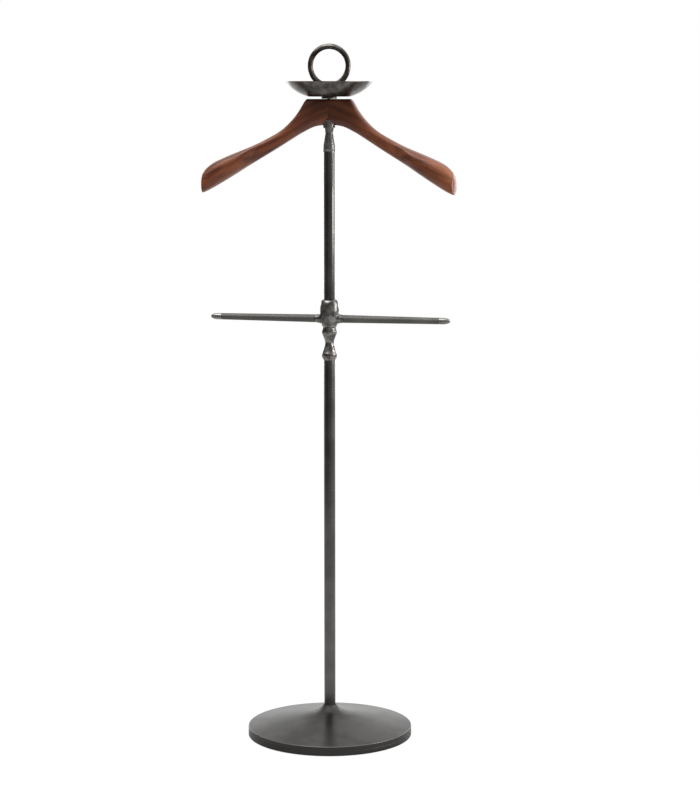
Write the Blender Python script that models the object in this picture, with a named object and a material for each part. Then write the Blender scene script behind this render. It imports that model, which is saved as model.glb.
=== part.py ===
"""Valet stand: weighted round base, post in two lengths, trouser bar, wooden hanger, tray and ring handle.

Metres, +Z up. The origin is the centre of the base's underside, on the axis of the post. The front is -Y:
the hanger's arms curve towards it. The trouser bar and the hanger run along X.
"""

import math

import bmesh
import bpy
import numpy
from mathutils import Matrix, Vector

# ---------------------------------------------------------------- fits
GAP = 0.0003                    # left between pieces that touch or turn on each other

# ---------------------------------------------------------------- base
BASE_RADIUS = 0.145
BASE_RIM_TOP = 0.0172           # height of the rim's top edge above the floor
BASE_RIM_FOOT = 0.0008          # the rim stops this far above the floor
BASE_RIM_WIDTH = 0.0065         # width of the rim's foot
BASE_LEDGE_WIDTH = 0.010        # ledge inside the rim that the weight sits against
BASE_WALL = 0.005
BASE_CHAMFER = 0.0008
BASE_SLOPE = 0.17               # rise of the top for each metre towards the post
FLARE_RISE = 0.0170             # extra rise of the trumpet at the post
FLARE_POWER = 1.12
NECK_LIP = 0.0008               # wall left round the post at the trumpet's mouth
SOCKET_DEPTH = 0.0270           # how deep the post stands in the base
BOSS_RADIUS = 0.028
FELT_THICKNESS = 0.0015
WEIGHT_PLATE = 0.0080           # thickness of the weight's flat disc
BOLT_HEAD_RADIUS = 0.0068
BOLT_HEAD_HEIGHT = 0.0037
BOLT_REACH = 0.020              # bolt length inside the post's plug
BOLT_WASHER_RADIUS = 0.0105
BOLT_WASHER_THICKNESS = 0.0012

# ---------------------------------------------------------------- posts
POST_RADIUS = 0.0100
POST_WALL = 0.0015
LOWER_POST_TOP = 0.6717         # height of the lower post's top end
UPPER_POST_LENGTH = 0.2607
PLUG_LENGTH = 0.030
STUD_RADIUS = 0.0040
STUD_REACH = 0.025              # stud length inside a post's plug
STUD_CHAMFER = 0.0005

# ---------------------------------------------------------------- turned coupling and trouser bar
BALUSTER_HEIGHT = 0.0568
BALL_RADIUS = 0.01365
WAIST_RADIUS = 0.0078
BEAD_RADIUS = 0.0136
NECK_RADIUS = 0.01205           # where the baluster meets the hub
HUB_HEIGHT = 0.0477
HUB_RADIUS = 0.0174
HUB_TOP_RADIUS = 0.0108
HUB_WASHER_MARGIN = 0.0004      # the washers are this much smaller than the post, all round
HUB_WASHER_THICKNESS = 0.0008
BAR_ABOVE_HUB_FOOT = 0.0142     # height of the bar's axis above the hub's lower end
BAR_HALF_LENGTH = 0.214
BAR_ROOT_RADIUS = 0.0069
BAR_END_RADIUS = 0.00565
BOSS_FLARE_RADIUS = 0.0106      # side boss where it leaves the hub
BOSS_HOLLOW = 0.0025            # how far the boss's flare is pulled in towards the hub
BOSS_REACH = 0.0250             # end of the side boss, from the post's axis
SPIGOT_RADIUS = 0.0040
SPIGOT_LENGTH = 0.0160
TIP_LENGTH = 0.0200
TIP_STRAIGHT = 0.0070           # straight part of the tip, before its nose
TIP_SPIGOT_RADIUS = 0.0030
TIP_SPIGOT_LENGTH = 0.0080

# ---------------------------------------------------------------- neck ferrule
FERRULE_SKIRT = 0.0065          # post length held inside the ferrule
FERRULE_HEIGHT = 0.0545
FERRULE_WALL = 0.0008           # thickness round the post's end
FERRULE_WAIST_RADIUS = 0.0073
COLLAR_COVER = 0.0018           # wood left in front of and behind the collar
COLLAR_HEIGHT = 0.0137
COLLAR_LET_IN = 0.0077          # how far the collar goes up into the hanger
HEAD_WASHER_MARGIN = 0.0007     # the washer is this much smaller than the collar, all round
HEAD_WASHER_THICKNESS = 0.0008
HEAD_NUT_MARGIN = 0.0011        # between the nut's corners and the inside of the post
HEAD_NUT_HEIGHT = 0.0065
HEAD_STUD_TAIL = 0.0020         # stud left below the nut

# ---------------------------------------------------------------- hanger
HANGER_HALF_WIDTH = 0.2259
HANGER_HEIGHT = 0.0438          # at the centre
HANGER_TOP_HALF_WIDTH = 0.0385  # half of the flat top
HANGER_CENTRE_THICKNESS = 0.0230
HANGER_SHOULDER_THICKNESS = 0.0450
HANGER_FORWARD_CURVE = 0.0180   # how far the tips stand forward of the centre
HANGER_TIP_DROP = 0.1195        # the tips' lower edge lies this far below the hanger's foot
HANGER_TIP_TURN = math.radians(7)
TIP_THICKNESS = 0.0189
TIP_ROUNDING = 0.0020
# shares of an arm's length, from the hanger's middle to its tip
NECK_SLIMMING = (0.20, 0.40)    # where the neck loses thickness
FRONT_SWELL = (0.49, 0.66)      # where the front swells from the neck to the shoulder, in a nose
BACK_SWELL = (0.48, 0.78)
SHOULDER_END = 0.80             # the tip's rounding starts here
TIP_TURN_START = 0.60
SECTION_CHANGE = (0.15, 0.45)   # where the section goes from boxy to rounded
NOSE_SLANT = 0.06               # how much further out the shoulder starts at its lower edge
# the arm's section at its boxy end and at its rounded end
SECTION_MIDDLE = (0.28, 0.55)   # height of the widest place, as a share of the arm's height
SECTION_TOP_POWER = (0.30, 0.75)
SECTION_BOTTOM_POWER = (0.95, 0.75)
NECK_THINNING = 0.08            # share of its thickness that the neck loses
TIP_ROUNDING_POWER = 2.2
DOWEL_RADIUS = 0.0018
DOWEL_LENGTH = 0.030
DOWEL_BELOW_TOP = 0.018

# ---------------------------------------------------------------- tray and ring
SPACER_RADIUS = 0.01375
SPACER_HEIGHT = 0.0033
TRAY_RADIUS = 0.0750
TRAY_FLAT_RADIUS = 0.0360
TRAY_DEPTH = 0.0243
TRAY_WALL = 0.0020
TRAY_TURN = math.radians(37)    # how far the wall bends between floor and rim
TRAY_WASHER_RADIUS = 0.0110
TRAY_WASHER_THICKNESS = 0.0010
RING_OUTER_RADIUS = 0.0380
RING_SECTION_RADIUS = 0.00475
RING_ABOVE_WASHER = 0.0106      # lowest point of the ring above the tray's washer
STEM_FOOT_RADIUS = 0.0095
STEM_TOP_RADIUS = 0.0062
STEM_FOOT_HEIGHT = 0.0020       # straight part of the stem's foot
STEM_HOLLOW_HEIGHT = 0.0035     # height half way in from the foot to the top
STEM_NECK_HEIGHT = 0.0078
STEM_CRADLE = 0.0035            # how far the stem's top reaches up round the ring
RING_FLOOR = 0.0024             # metal left between the head stud and the ring's seat

# ---------------------------------------------------------------- places, from the floor upwards
WEIGHT_FOOT = FELT_THICKNESS + GAP
WEIGHT_TOP = WEIGHT_FOOT + WEIGHT_PLATE
BASE_LEDGE = WEIGHT_TOP + GAP
BALUSTER_FOOT = LOWER_POST_TOP + GAP
HUB_WASHER_LOWER_FOOT = BALUSTER_FOOT + BALUSTER_HEIGHT + GAP
HUB_FOOT = HUB_WASHER_LOWER_FOOT + HUB_WASHER_THICKNESS + GAP
BAR_Z = HUB_FOOT + BAR_ABOVE_HUB_FOOT
HUB_WASHER_UPPER_FOOT = HUB_FOOT + HUB_HEIGHT + GAP
UPPER_POST_FOOT = HUB_WASHER_UPPER_FOOT + HUB_WASHER_THICKNESS + GAP
UPPER_POST_TOP = UPPER_POST_FOOT + UPPER_POST_LENGTH
FERRULE_FOOT = UPPER_POST_TOP - FERRULE_SKIRT
FERRULE_TOP = FERRULE_FOOT + FERRULE_HEIGHT
HEAD_WASHER_FOOT = FERRULE_TOP + GAP
HANGER_SEAT = HEAD_WASHER_FOOT + HEAD_WASHER_THICKNESS + GAP
HANGER_FOOT = FERRULE_TOP - COLLAR_LET_IN
HANGER_TOP = HANGER_FOOT + HANGER_HEIGHT
SPACER_FOOT = HANGER_TOP + GAP
TRAY_FOOT = SPACER_FOOT + SPACER_HEIGHT + GAP
TRAY_FLOOR = TRAY_FOOT + TRAY_WALL
TRAY_WASHER_FOOT = TRAY_FLOOR + GAP
STEM_FOOT = TRAY_WASHER_FOOT + TRAY_WASHER_THICKNESS + GAP
RING_BOTTOM = STEM_FOOT + RING_ABOVE_WASHER
RING_CENTRE = RING_BOTTOM + RING_OUTER_RADIUS
BORE_RADIUS = STUD_RADIUS + GAP
POST_SOCKET_RADIUS = POST_RADIUS + GAP
HUB_WASHER_RADIUS = POST_RADIUS - HUB_WASHER_MARGIN
FERRULE_FOOT_RADIUS = POST_SOCKET_RADIUS + FERRULE_WALL
COLLAR_RADIUS = HANGER_CENTRE_THICKNESS / 2 - COLLAR_COVER
HEAD_WASHER_RADIUS = COLLAR_RADIUS - HEAD_WASHER_MARGIN
HEAD_NUT_RADIUS = POST_RADIUS - POST_WALL - HEAD_NUT_MARGIN
DOWEL_OFFSET = (BORE_RADIUS + HANGER_CENTRE_THICKNESS / 2) / 2

# ---------------------------------------------------------------- fineness of the meshes
SHARP_ANGLE = math.radians(35)  # edges that turn more than this are shaded sharp
MERGE_DISTANCE = 1e-6
BASE_SEGMENTS = 44
TURNED_SEGMENTS = 28
SMALL_SEGMENTS = 20
RING_SEGMENTS = 36
RING_SECTION_POINTS = 12
ARM_SECTION_POINTS = 16
TRUMPET_STATIONS = 11
HOLLOW_STATIONS = 4
OUTLINE_STEPS = 2               # spans between two points of a turned piece's outline
ARM_EDGE_STEPS = 4
TRAY_STEPS = 6
TIP_STEPS = 6
ARM_STATIONS = (0.015, 0.065, 0.13, 0.23, 0.34, 0.42, 0.49, 0.56, 0.66, 0.78, 0.88, 0.94, 0.975, 1.0)


def clear_scene():
    for old in list(bpy.data.objects):
        bpy.data.objects.remove(old, do_unlink=True)


def principled(name, colour, roughness, metallic):
    material = bpy.data.materials.new(name)
    material.use_nodes = True
    shader = material.node_tree.nodes["Principled BSDF"]
    shader.inputs["Base Color"].default_value = (*colour, 1.0)
    shader.inputs["Roughness"].default_value = roughness
    shader.inputs["Metallic"].default_value = metallic
    material.diffuse_color = (*colour, 1.0)
    return material


def smooth_outline(points, steps):
    """Catmull-Rom curve through the points, with `steps` spans between each two of them."""
    first = tuple(2 * a - b for a, b in zip(points[0], points[1]))
    last = tuple(2 * a - b for a, b in zip(points[-1], points[-2]))
    run = [first, *points, last]
    outline = []
    for p0, p1, p2, p3 in zip(run, run[1:], run[2:], run[3:]):
        for step in range(steps):
            t = step / steps
            weights = (
                -0.5 * t + t ** 2 - 0.5 * t ** 3,
                1 - 2.5 * t ** 2 + 1.5 * t ** 3,
                0.5 * t + 2 * t ** 2 - 1.5 * t ** 3,
                -0.5 * t ** 2 + 0.5 * t ** 3,
            )
            outline.append(tuple(
                sum(w * p[axis] for w, p in zip(weights, (p0, p1, p2, p3))) for axis in (0, 1)
            ))
    outline.append(tuple(points[-1]))
    return outline


def smoothstep(low, high, value):
    t = min(max((value - low) / (high - low), 0.0), 1.0)
    return t * t * (3 - 2 * t)


def between(start, end, share):
    return start + (end - start) * share


def add_object(name, mesh_data, material, parent=None, location=(0, 0, 0)):
    """Turn a bmesh into an object; the location is given in world space."""
    mesh = bpy.data.meshes.new(name)
    bmesh.ops.recalc_face_normals(mesh_data, faces=mesh_data.faces)
    mesh_data.to_mesh(mesh)
    mesh_data.free()
    mesh.shade_smooth()
    mesh.set_sharp_from_angle(angle=SHARP_ANGLE)
    mesh.materials.append(material)
    piece = bpy.data.objects.new(name, mesh)
    bpy.context.scene.collection.objects.link(piece)
    piece.location = location
    if parent is not None:
        piece.parent = parent
        piece.location = Vector(location) - parent.location
    return piece


def spin_outline(outline, segments):
    """Closed outline of (radius, height) points turned round the Z axis."""
    turned = bmesh.new()
    verts = [turned.verts.new((radius, 0.0, height)) for radius, height in outline]
    edges = [turned.edges.new(pair) for pair in zip(verts, verts[1:] + verts[:1])]
    bmesh.ops.spin(
        turned, geom=verts + edges, cent=(0, 0, 0), axis=(0, 0, 1),
        angle=2 * math.pi, steps=segments, use_merge=True,
    )
    bmesh.ops.remove_doubles(turned, verts=turned.verts, dist=MERGE_DISTANCE)
    on_axis = [edge for edge in turned.edges if not edge.link_faces]
    bmesh.ops.delete(turned, geom=on_axis, context="EDGES")
    return turned


def turned_piece(name, outline, segments, material, foot, parent=None):
    """Piece turned about the post's axis; `foot` is the height of its outline's zero."""
    return add_object(name, spin_outline(outline, segments), material, parent, (0, 0, foot))


def across(outline, side=1):
    """Outline turned about the X axis; its heights become distances from the post's axis."""
    rod = spin_outline(outline, SMALL_SEGMENTS)
    half_segment = Matrix.Rotation(math.pi / SMALL_SEGMENTS, 3, "Z")
    turn = Matrix.Rotation(side * math.pi / 2, 3, "Y") @ half_segment
    bmesh.ops.rotate(rod, verts=rod.verts, matrix=turn)
    return rod


def tube_outline(outer, inner, length):
    return [(inner, 0.0), (outer, 0.0), (outer, length), (inner, length)]


def rod_outline(radius, low, high, chamfer=0.0):
    return [
        (0.0, low), (radius - chamfer, low), (radius, low + chamfer),
        (radius, high - chamfer), (radius - chamfer, high), (0.0, high),
    ]


def cutter(name, mesh_data, location=(0, 0, 0)):
    tool = add_object(name, mesh_data, bpy.data.materials["steel"], None, location)
    tool.hide_render = True
    tool.display_type = "WIRE"
    return tool


def combine(piece, tool, operation):
    boolean = piece.modifiers.new(tool.name, "BOOLEAN")
    boolean.operation = operation
    boolean.object = tool
    boolean.solver = "EXACT"


def cut(piece, tool):
    combine(piece, tool, "DIFFERENCE")


def join(piece, tool):
    combine(piece, tool, "UNION")


def mirror_copy(mesh_data):
    """Add the same shape mirrored to the other side of the post."""
    copy = bmesh.ops.duplicate(mesh_data, geom=mesh_data.verts[:] + mesh_data.edges[:] + mesh_data.faces[:])
    verts = [item for item in copy["geom"] if isinstance(item, bmesh.types.BMVert)]
    faces = [item for item in copy["geom"] if isinstance(item, bmesh.types.BMFace)]
    bmesh.ops.scale(mesh_data, verts=verts, vec=(-1, 1, 1))
    bmesh.ops.reverse_faces(mesh_data, faces=faces)


def hexagon(radius, low, high):
    """Six-sided prism with its corners at the given radius."""
    prism = bmesh.new()
    place = Matrix.Translation((0, 0, (low + high) / 2))
    bmesh.ops.create_cone(
        prism, cap_ends=True, segments=6, radius1=radius, radius2=radius, depth=high - low, matrix=place,
    )
    return prism


def guide(name, height):
    """Empty on the post's axis that a turning group hangs from."""
    axis = bpy.data.objects.new(name, None)
    bpy.context.scene.collection.objects.link(axis)
    axis.location = (0, 0, height)
    return axis


# ---------------------------------------------------------------- base
def base_top(radius):
    """Height of the base's top surface: a shallow cone that rises into the trumpet round the post."""
    cone = BASE_SLOPE * (BASE_RADIUS - radius)
    flare = (POST_RADIUS / radius) ** FLARE_POWER - (POST_RADIUS / BASE_RADIUS) ** FLARE_POWER
    return BASE_RIM_TOP + cone + FLARE_RISE * flare


def base_stations(inner, outer, count):
    """Radii from inner to outer, closer together where the trumpet curves most."""
    ratio = outer / inner
    return [inner * ratio ** (step / (count - 1)) for step in range(count)]


def make_base(iron, felt, steel, concrete):
    """Casting, weight, felt, bolt and washer; returns the height of the lower post's foot."""
    neck_radius = POST_SOCKET_RADIUS + NECK_LIP
    socket_floor = base_top(neck_radius) - SOCKET_DEPTH
    ledge_outer = BASE_RADIUS - BASE_RIM_WIDTH
    ledge_inner = ledge_outer - BASE_LEDGE_WIDTH

    top_radii = base_stations(neck_radius, BASE_RADIUS - BASE_CHAMFER, TRUMPET_STATIONS)
    top = [(r, base_top(r)) for r in top_radii]
    hollow_radii = base_stations(BOSS_RADIUS, ledge_inner, HOLLOW_STATIONS)
    hollow = [(r, base_top(r) - BASE_WALL) for r in hollow_radii]
    casting = [
        (BORE_RADIUS, BASE_LEDGE), (BOSS_RADIUS, BASE_LEDGE), *hollow, (ledge_inner, BASE_LEDGE),
        (ledge_outer, BASE_LEDGE), (ledge_outer, BASE_RIM_FOOT), (BASE_RADIUS, BASE_RIM_FOOT),
        (BASE_RADIUS, BASE_RIM_TOP - BASE_CHAMFER), *reversed(top),
        (POST_SOCKET_RADIUS, base_top(neck_radius)), (POST_SOCKET_RADIUS, socket_floor),
        (BORE_RADIUS, socket_floor),
    ]
    turned_piece("base_casting", casting, BASE_SEGMENTS, iron, 0.0)

    bolt_head_foot = WEIGHT_FOOT + GAP
    bolt_washer_foot = bolt_head_foot + BOLT_HEAD_HEIGHT + GAP
    counterbore_top = bolt_washer_foot + BOLT_WASHER_THICKNESS + GAP
    counterbore = BOLT_WASHER_RADIUS + GAP
    filling_radii = base_stations(BOSS_RADIUS + GAP, ledge_inner - GAP, HOLLOW_STATIONS)
    filling = [(r, base_top(r) - BASE_WALL - GAP) for r in filling_radii]
    weight = [
        (counterbore, WEIGHT_FOOT), (ledge_outer - GAP, WEIGHT_FOOT), (ledge_outer - GAP, WEIGHT_TOP),
        (ledge_inner - GAP, WEIGHT_TOP), *reversed(filling), (BOSS_RADIUS + GAP, WEIGHT_TOP),
        (BORE_RADIUS, WEIGHT_TOP), (BORE_RADIUS, counterbore_top), (counterbore, counterbore_top),
    ]
    turned_piece("base_weight", weight, BASE_SEGMENTS, concrete, 0.0)
    turned_piece(
        "felt_pad", rod_outline(ledge_outer - 2 * GAP, 0.0, FELT_THICKNESS), BASE_SEGMENTS, felt, 0.0,
    )

    head_top = bolt_head_foot + BOLT_HEAD_HEIGHT
    bolt = add_object("base_bolt", hexagon(BOLT_HEAD_RADIUS, bolt_head_foot, head_top), steel)
    shank_top = socket_floor + GAP + BOLT_REACH
    shank = rod_outline(STUD_RADIUS, bolt_head_foot + BOLT_HEAD_HEIGHT / 2, shank_top)
    join(bolt, cutter("bolt_shank", spin_outline(shank, SMALL_SEGMENTS)))
    washer = tube_outline(BOLT_WASHER_RADIUS, BORE_RADIUS, BOLT_WASHER_THICKNESS)
    turned_piece("base_washer", washer, SMALL_SEGMENTS, steel, bolt_washer_foot)
    return socket_floor + GAP


# ---------------------------------------------------------------- posts
def make_post(name, foot, top, iron, steel):
    """Tube with a bored plug pressed into each end."""
    length = top - foot
    tube = tube_outline(POST_RADIUS, POST_RADIUS - POST_WALL, length)
    turned_piece(name, tube, TURNED_SEGMENTS, iron, foot)
    plug = tube_outline(POST_RADIUS - POST_WALL - GAP, BORE_RADIUS, PLUG_LENGTH)
    turned_piece(name + "_bottom_plug", plug, SMALL_SEGMENTS, steel, foot)
    turned_piece(name + "_top_plug", plug, SMALL_SEGMENTS, steel, top - PLUG_LENGTH)


def make_baluster(iron):
    """Ball, waist and bead, bored for the stud."""
    height = BALUSTER_HEIGHT
    side = smooth_outline([
        (1.01 * POST_RADIUS, 0.0), (0.95 * BALL_RADIUS, 0.09 * height), (BALL_RADIUS, 0.18 * height),
        (0.86 * BALL_RADIUS, 0.27 * height), (1.19 * WAIST_RADIUS, 0.40 * height),
        (WAIST_RADIUS, 0.53 * height), (1.12 * WAIST_RADIUS, 0.63 * height),
        (0.81 * BEAD_RADIUS, 0.74 * height), (BEAD_RADIUS, 0.86 * height),
        (0.94 * BEAD_RADIUS, 0.95 * height), (NECK_RADIUS, height),
    ], OUTLINE_STEPS)
    outline = [(BORE_RADIUS, 0.0), *side, (BORE_RADIUS, height)]
    turned_piece("baluster", outline, TURNED_SEGMENTS, iron, BALUSTER_FOOT)


# ---------------------------------------------------------------- hub and trouser bar
def hub_side():
    """Outer side of the hub, from its neck up over its widest part to the shoulder under the upper post."""
    return smooth_outline([
        (NECK_RADIUS, 0.0), (0.80 * HUB_RADIUS, 0.10 * HUB_HEIGHT), (0.93 * HUB_RADIUS, 0.30 * HUB_HEIGHT),
        (HUB_RADIUS, 0.55 * HUB_HEIGHT), (0.99 * HUB_RADIUS, 0.65 * HUB_HEIGHT),
        (0.90 * HUB_RADIUS, 0.87 * HUB_HEIGHT), (0.80 * HUB_RADIUS, 0.96 * HUB_HEIGHT),
        (HUB_TOP_RADIUS, HUB_HEIGHT),
    ], OUTLINE_STEPS)


def make_hub(axis, iron):
    outline = [(BORE_RADIUS, 0.0), *hub_side(), (BORE_RADIUS, HUB_HEIGHT)]
    hub = turned_piece("cross_hub", outline, TURNED_SEGMENTS, iron, HUB_FOOT, axis)

    inside = 0.5 * HUB_RADIUS
    flare = smooth_outline([
        (BOSS_FLARE_RADIUS, inside), (BOSS_FLARE_RADIUS, 0.86 * HUB_RADIUS),
        (0.5 * (BOSS_FLARE_RADIUS + BAR_ROOT_RADIUS), 0.5 * (HUB_RADIUS + BOSS_REACH) - BOSS_HOLLOW),
        (BAR_ROOT_RADIUS, BOSS_REACH),
    ], OUTLINE_STEPS)
    bosses = across([(0.0, inside), *flare, (0.0, BOSS_REACH)])
    mirror_copy(bosses)
    join(hub, cutter("side_bosses", bosses, (0, 0, BAR_Z)))

    socket_end = BOSS_REACH - SPIGOT_LENGTH
    socket = rod_outline(SPIGOT_RADIUS + GAP, socket_end, BOSS_REACH + SPIGOT_LENGTH)
    sockets = across(socket)
    mirror_copy(sockets)
    cut(hub, cutter("bar_sockets", sockets, (0, 0, BAR_Z)))


def make_trouser_bar(axis, iron, steel):
    bar_foot = BOSS_REACH + GAP
    tip_foot = BAR_HALF_LENGTH - TIP_LENGTH
    bar_end = tip_foot - GAP
    spigot_foot = BOSS_REACH - SPIGOT_LENGTH + GAP
    tip_bore = TIP_SPIGOT_RADIUS + GAP
    tip_bore_floor = bar_end - TIP_SPIGOT_LENGTH - GAP
    bar = [
        (0.0, spigot_foot), (SPIGOT_RADIUS, spigot_foot), (SPIGOT_RADIUS, bar_foot),
        (BAR_ROOT_RADIUS, bar_foot), (BAR_END_RADIUS, bar_end),
        (tip_bore, bar_end), (tip_bore, tip_bore_floor), (0.0, tip_bore_floor),
    ]
    nose_length = TIP_LENGTH - TIP_STRAIGHT
    nose = [
        (BAR_END_RADIUS * math.cos(angle), BAR_HALF_LENGTH - nose_length * (1 - math.sin(angle)))
        for angle in (math.pi / 2 * step / TIP_STEPS for step in range(TIP_STEPS))
    ]
    tip = [
        (0.0, bar_end - TIP_SPIGOT_LENGTH), (TIP_SPIGOT_RADIUS, bar_end - TIP_SPIGOT_LENGTH),
        (TIP_SPIGOT_RADIUS, tip_foot), (BAR_END_RADIUS, tip_foot), *nose, (0.0, BAR_HALF_LENGTH),
    ]
    for side, word in ((-1, "left"), (1, "right")):
        add_object("bar_" + word, across(bar, side), iron, axis, (0, 0, BAR_Z))
        add_object("bar_tip_" + word, across(tip, side), steel, axis, (0, 0, BAR_Z))


def make_coupling(iron, steel, nylon):
    """Baluster, hub and trouser bar, with the stud that ties the two posts together."""
    make_baluster(iron)
    axis = guide("bar_swivel_axis", BAR_Z)
    make_hub(axis, iron)
    make_trouser_bar(axis, iron, steel)
    washer = tube_outline(HUB_WASHER_RADIUS, BORE_RADIUS, HUB_WASHER_THICKNESS)
    turned_piece("hub_washer_lower", washer, SMALL_SEGMENTS, nylon, HUB_WASHER_LOWER_FOOT)
    turned_piece("hub_washer_upper", washer, SMALL_SEGMENTS, nylon, HUB_WASHER_UPPER_FOOT)
    stud = rod_outline(STUD_RADIUS, LOWER_POST_TOP - STUD_REACH, UPPER_POST_FOOT + STUD_REACH, STUD_CHAMFER)
    turned_piece("hub_stud", stud, SMALL_SEGMENTS, steel, 0.0)


# ---------------------------------------------------------------- neck
def make_ferrule(steel):
    """Turned neck: a foot over the post's end, a narrow waist and the collar that goes into the hanger."""
    height = FERRULE_HEIGHT
    side = smooth_outline([
        (FERRULE_FOOT_RADIUS, 0.10 * height), (0.97 * FERRULE_FOOT_RADIUS, 0.19 * height),
        (0.86 * FERRULE_FOOT_RADIUS, 0.32 * height), (1.12 * FERRULE_WAIST_RADIUS, 0.47 * height),
        (FERRULE_WAIST_RADIUS, 0.59 * height), (1.16 * FERRULE_WAIST_RADIUS, 0.745 * height),
    ], OUTLINE_STEPS)
    outline = [
        (POST_SOCKET_RADIUS, 0.0), (FERRULE_FOOT_RADIUS, 0.0), *side,
        (COLLAR_RADIUS, height - COLLAR_HEIGHT), (COLLAR_RADIUS, height), (BORE_RADIUS, height),
        (BORE_RADIUS, FERRULE_SKIRT + GAP), (POST_SOCKET_RADIUS, FERRULE_SKIRT + GAP),
    ]
    turned_piece("neck_ferrule", outline, TURNED_SEGMENTS, steel, FERRULE_FOOT)


def make_head_pivot(axis, steel, nylon):
    """Stud that the whole head turns on, kept down by the nut under the upper post's top plug."""
    plug_foot = UPPER_POST_TOP - PLUG_LENGTH
    nut_foot = plug_foot - GAP - HEAD_NUT_HEIGHT
    stud_foot = nut_foot - HEAD_STUD_TAIL
    stud = rod_outline(STUD_RADIUS, stud_foot, RING_BOTTOM - RING_FLOOR, STUD_CHAMFER)
    turned_piece("head_stud", stud, SMALL_SEGMENTS, steel, 0.0, axis)
    prism = hexagon(HEAD_NUT_RADIUS, 0.0, HEAD_NUT_HEIGHT)
    nut = add_object("head_nut", prism, steel, axis, (0, 0, nut_foot))
    bore = rod_outline(BORE_RADIUS, -HEAD_NUT_HEIGHT, 2 * HEAD_NUT_HEIGHT)
    cut(nut, cutter("nut_bore", spin_outline(bore, SMALL_SEGMENTS), (0, 0, nut_foot)))
    washer = tube_outline(HEAD_WASHER_RADIUS, BORE_RADIUS, HEAD_WASHER_THICKNESS)
    turned_piece("head_washer", washer, SMALL_SEGMENTS, nylon, HEAD_WASHER_FOOT, axis)


# ---------------------------------------------------------------- hanger
def height_along(outline, x):
    """Height at x on the outline, whose points run outwards."""
    return float(numpy.interp(x, *zip(*outline)))


def arm_top_outline():
    """Upper edge of an arm, outwards from the corner of the flat top, measured from the hanger's foot."""
    flat = HANGER_TOP_HALF_WIDTH
    reach = HANGER_HALF_WIDTH - flat
    neck = ((0.0, 1.0), (0.024, 0.87), (0.074, 0.52), (0.139, 0.175))
    arm = (
        (0.233, 0.072), (0.347, 0.181), (0.518, 0.313), (0.744, 0.455), (0.884, 0.556), (0.965, 0.660),
        (1.0, 0.765),
    )
    points = [(flat + reach * share, HANGER_HEIGHT * height) for share, height in neck]
    points += [(flat + reach * share, -HANGER_TIP_DROP * drop) for share, drop in arm]
    return smooth_outline(points, ARM_EDGE_STEPS)


def arm_bottom_outline():
    """Lower edge of an arm, outwards from the centre, measured from the hanger's foot."""
    edge = (
        (0.0, 0.0), (0.107, 0.028), (0.200, 0.108), (0.272, 0.188), (0.414, 0.355), (0.601, 0.567),
        (0.788, 0.785), (0.927, 0.937), (1.0, 1.0),
    )
    points = [(HANGER_HALF_WIDTH * share, -HANGER_TIP_DROP * drop) for share, drop in edge]
    return smooth_outline(points, ARM_EDGE_STEPS)


def arm_half_thickness(share, front):
    """Half thickness at a share of the arm's length: slim neck, shoulder starting in a nose, round tip."""
    neck = HANGER_CENTRE_THICKNESS / 2 * (1 - NECK_THINNING * smoothstep(*NECK_SLIMMING, share))
    rounding = max(0.0, (share - SHOULDER_END) / (1 - SHOULDER_END)) ** TIP_ROUNDING_POWER
    shoulder = between(HANGER_SHOULDER_THICKNESS / 2, TIP_THICKNESS / 2, rounding)
    swell = smoothstep(*(FRONT_SWELL if front else BACK_SWELL), share)
    return between(neck, shoulder, swell)


def arm_section(x, top, bottom):
    """Closed ring of points of the right arm's section at x: boxy on top at the centre, rounder outside."""
    share = x / HANGER_HALF_WIDTH
    outward = smoothstep(*SECTION_CHANGE, share)
    middle = between(bottom, top, between(*SECTION_MIDDLE, outward))
    top_power = between(*SECTION_TOP_POWER, outward)
    bottom_power = between(*SECTION_BOTTOM_POWER, outward)
    centre = -HANGER_FORWARD_CURVE * share ** 2
    lean = math.sin(HANGER_TIP_TURN * smoothstep(TIP_TURN_START, 1.0, share))
    ring = []
    for step in range(ARM_SECTION_POINTS):
        angle = 2 * math.pi * (step + 0.5) / ARM_SECTION_POINTS
        across_part = math.cos(angle)
        up = math.sin(angle)
        power = top_power if up > 0 else bottom_power
        later = NOSE_SLANT * (1 - up) / 2
        half = arm_half_thickness(share - later, across_part < 0)
        y = half * math.copysign(abs(across_part) ** power, across_part)
        reach = (top - middle) if up > 0 else (middle - bottom)
        z = middle + reach * math.copysign(abs(up) ** power, up)
        ring.append((x - (TIP_THICKNESS / 2 - y) * lean, centre + y, z))
    return ring


def arm_mesh(side):
    """One half of the hanger, lofted through its sections; side is -1 for the left, 1 for the right."""
    flat = HANGER_TOP_HALF_WIDTH
    tip_depth = TIP_ROUNDING / 2
    reach = HANGER_HALF_WIDTH - tip_depth - flat
    top_edge = arm_top_outline()
    bottom_edge = arm_bottom_outline()
    stations = [GAP / 2, flat / 2, flat]
    stations += [flat + reach * share for share in ARM_STATIONS]
    arm = bmesh.new()
    rings = []
    for x in stations:
        top = HANGER_HEIGHT if x <= flat else height_along(top_edge, x)
        section = arm_section(x, top, height_along(bottom_edge, x))
        rings.append([arm.verts.new((side * px, py, pz)) for px, py, pz in section])
    for inner, outer in zip(rings, rings[1:]):
        for step in range(ARM_SECTION_POINTS):
            after = (step + 1) % ARM_SECTION_POINTS
            arm.faces.new((inner[step], inner[after], outer[after], outer[step]))
    arm.faces.new(rings[0])
    face = arm.faces.new(rings[-1])
    bmesh.ops.inset_region(arm, faces=[face], thickness=TIP_ROUNDING, depth=tip_depth)
    return arm


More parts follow.
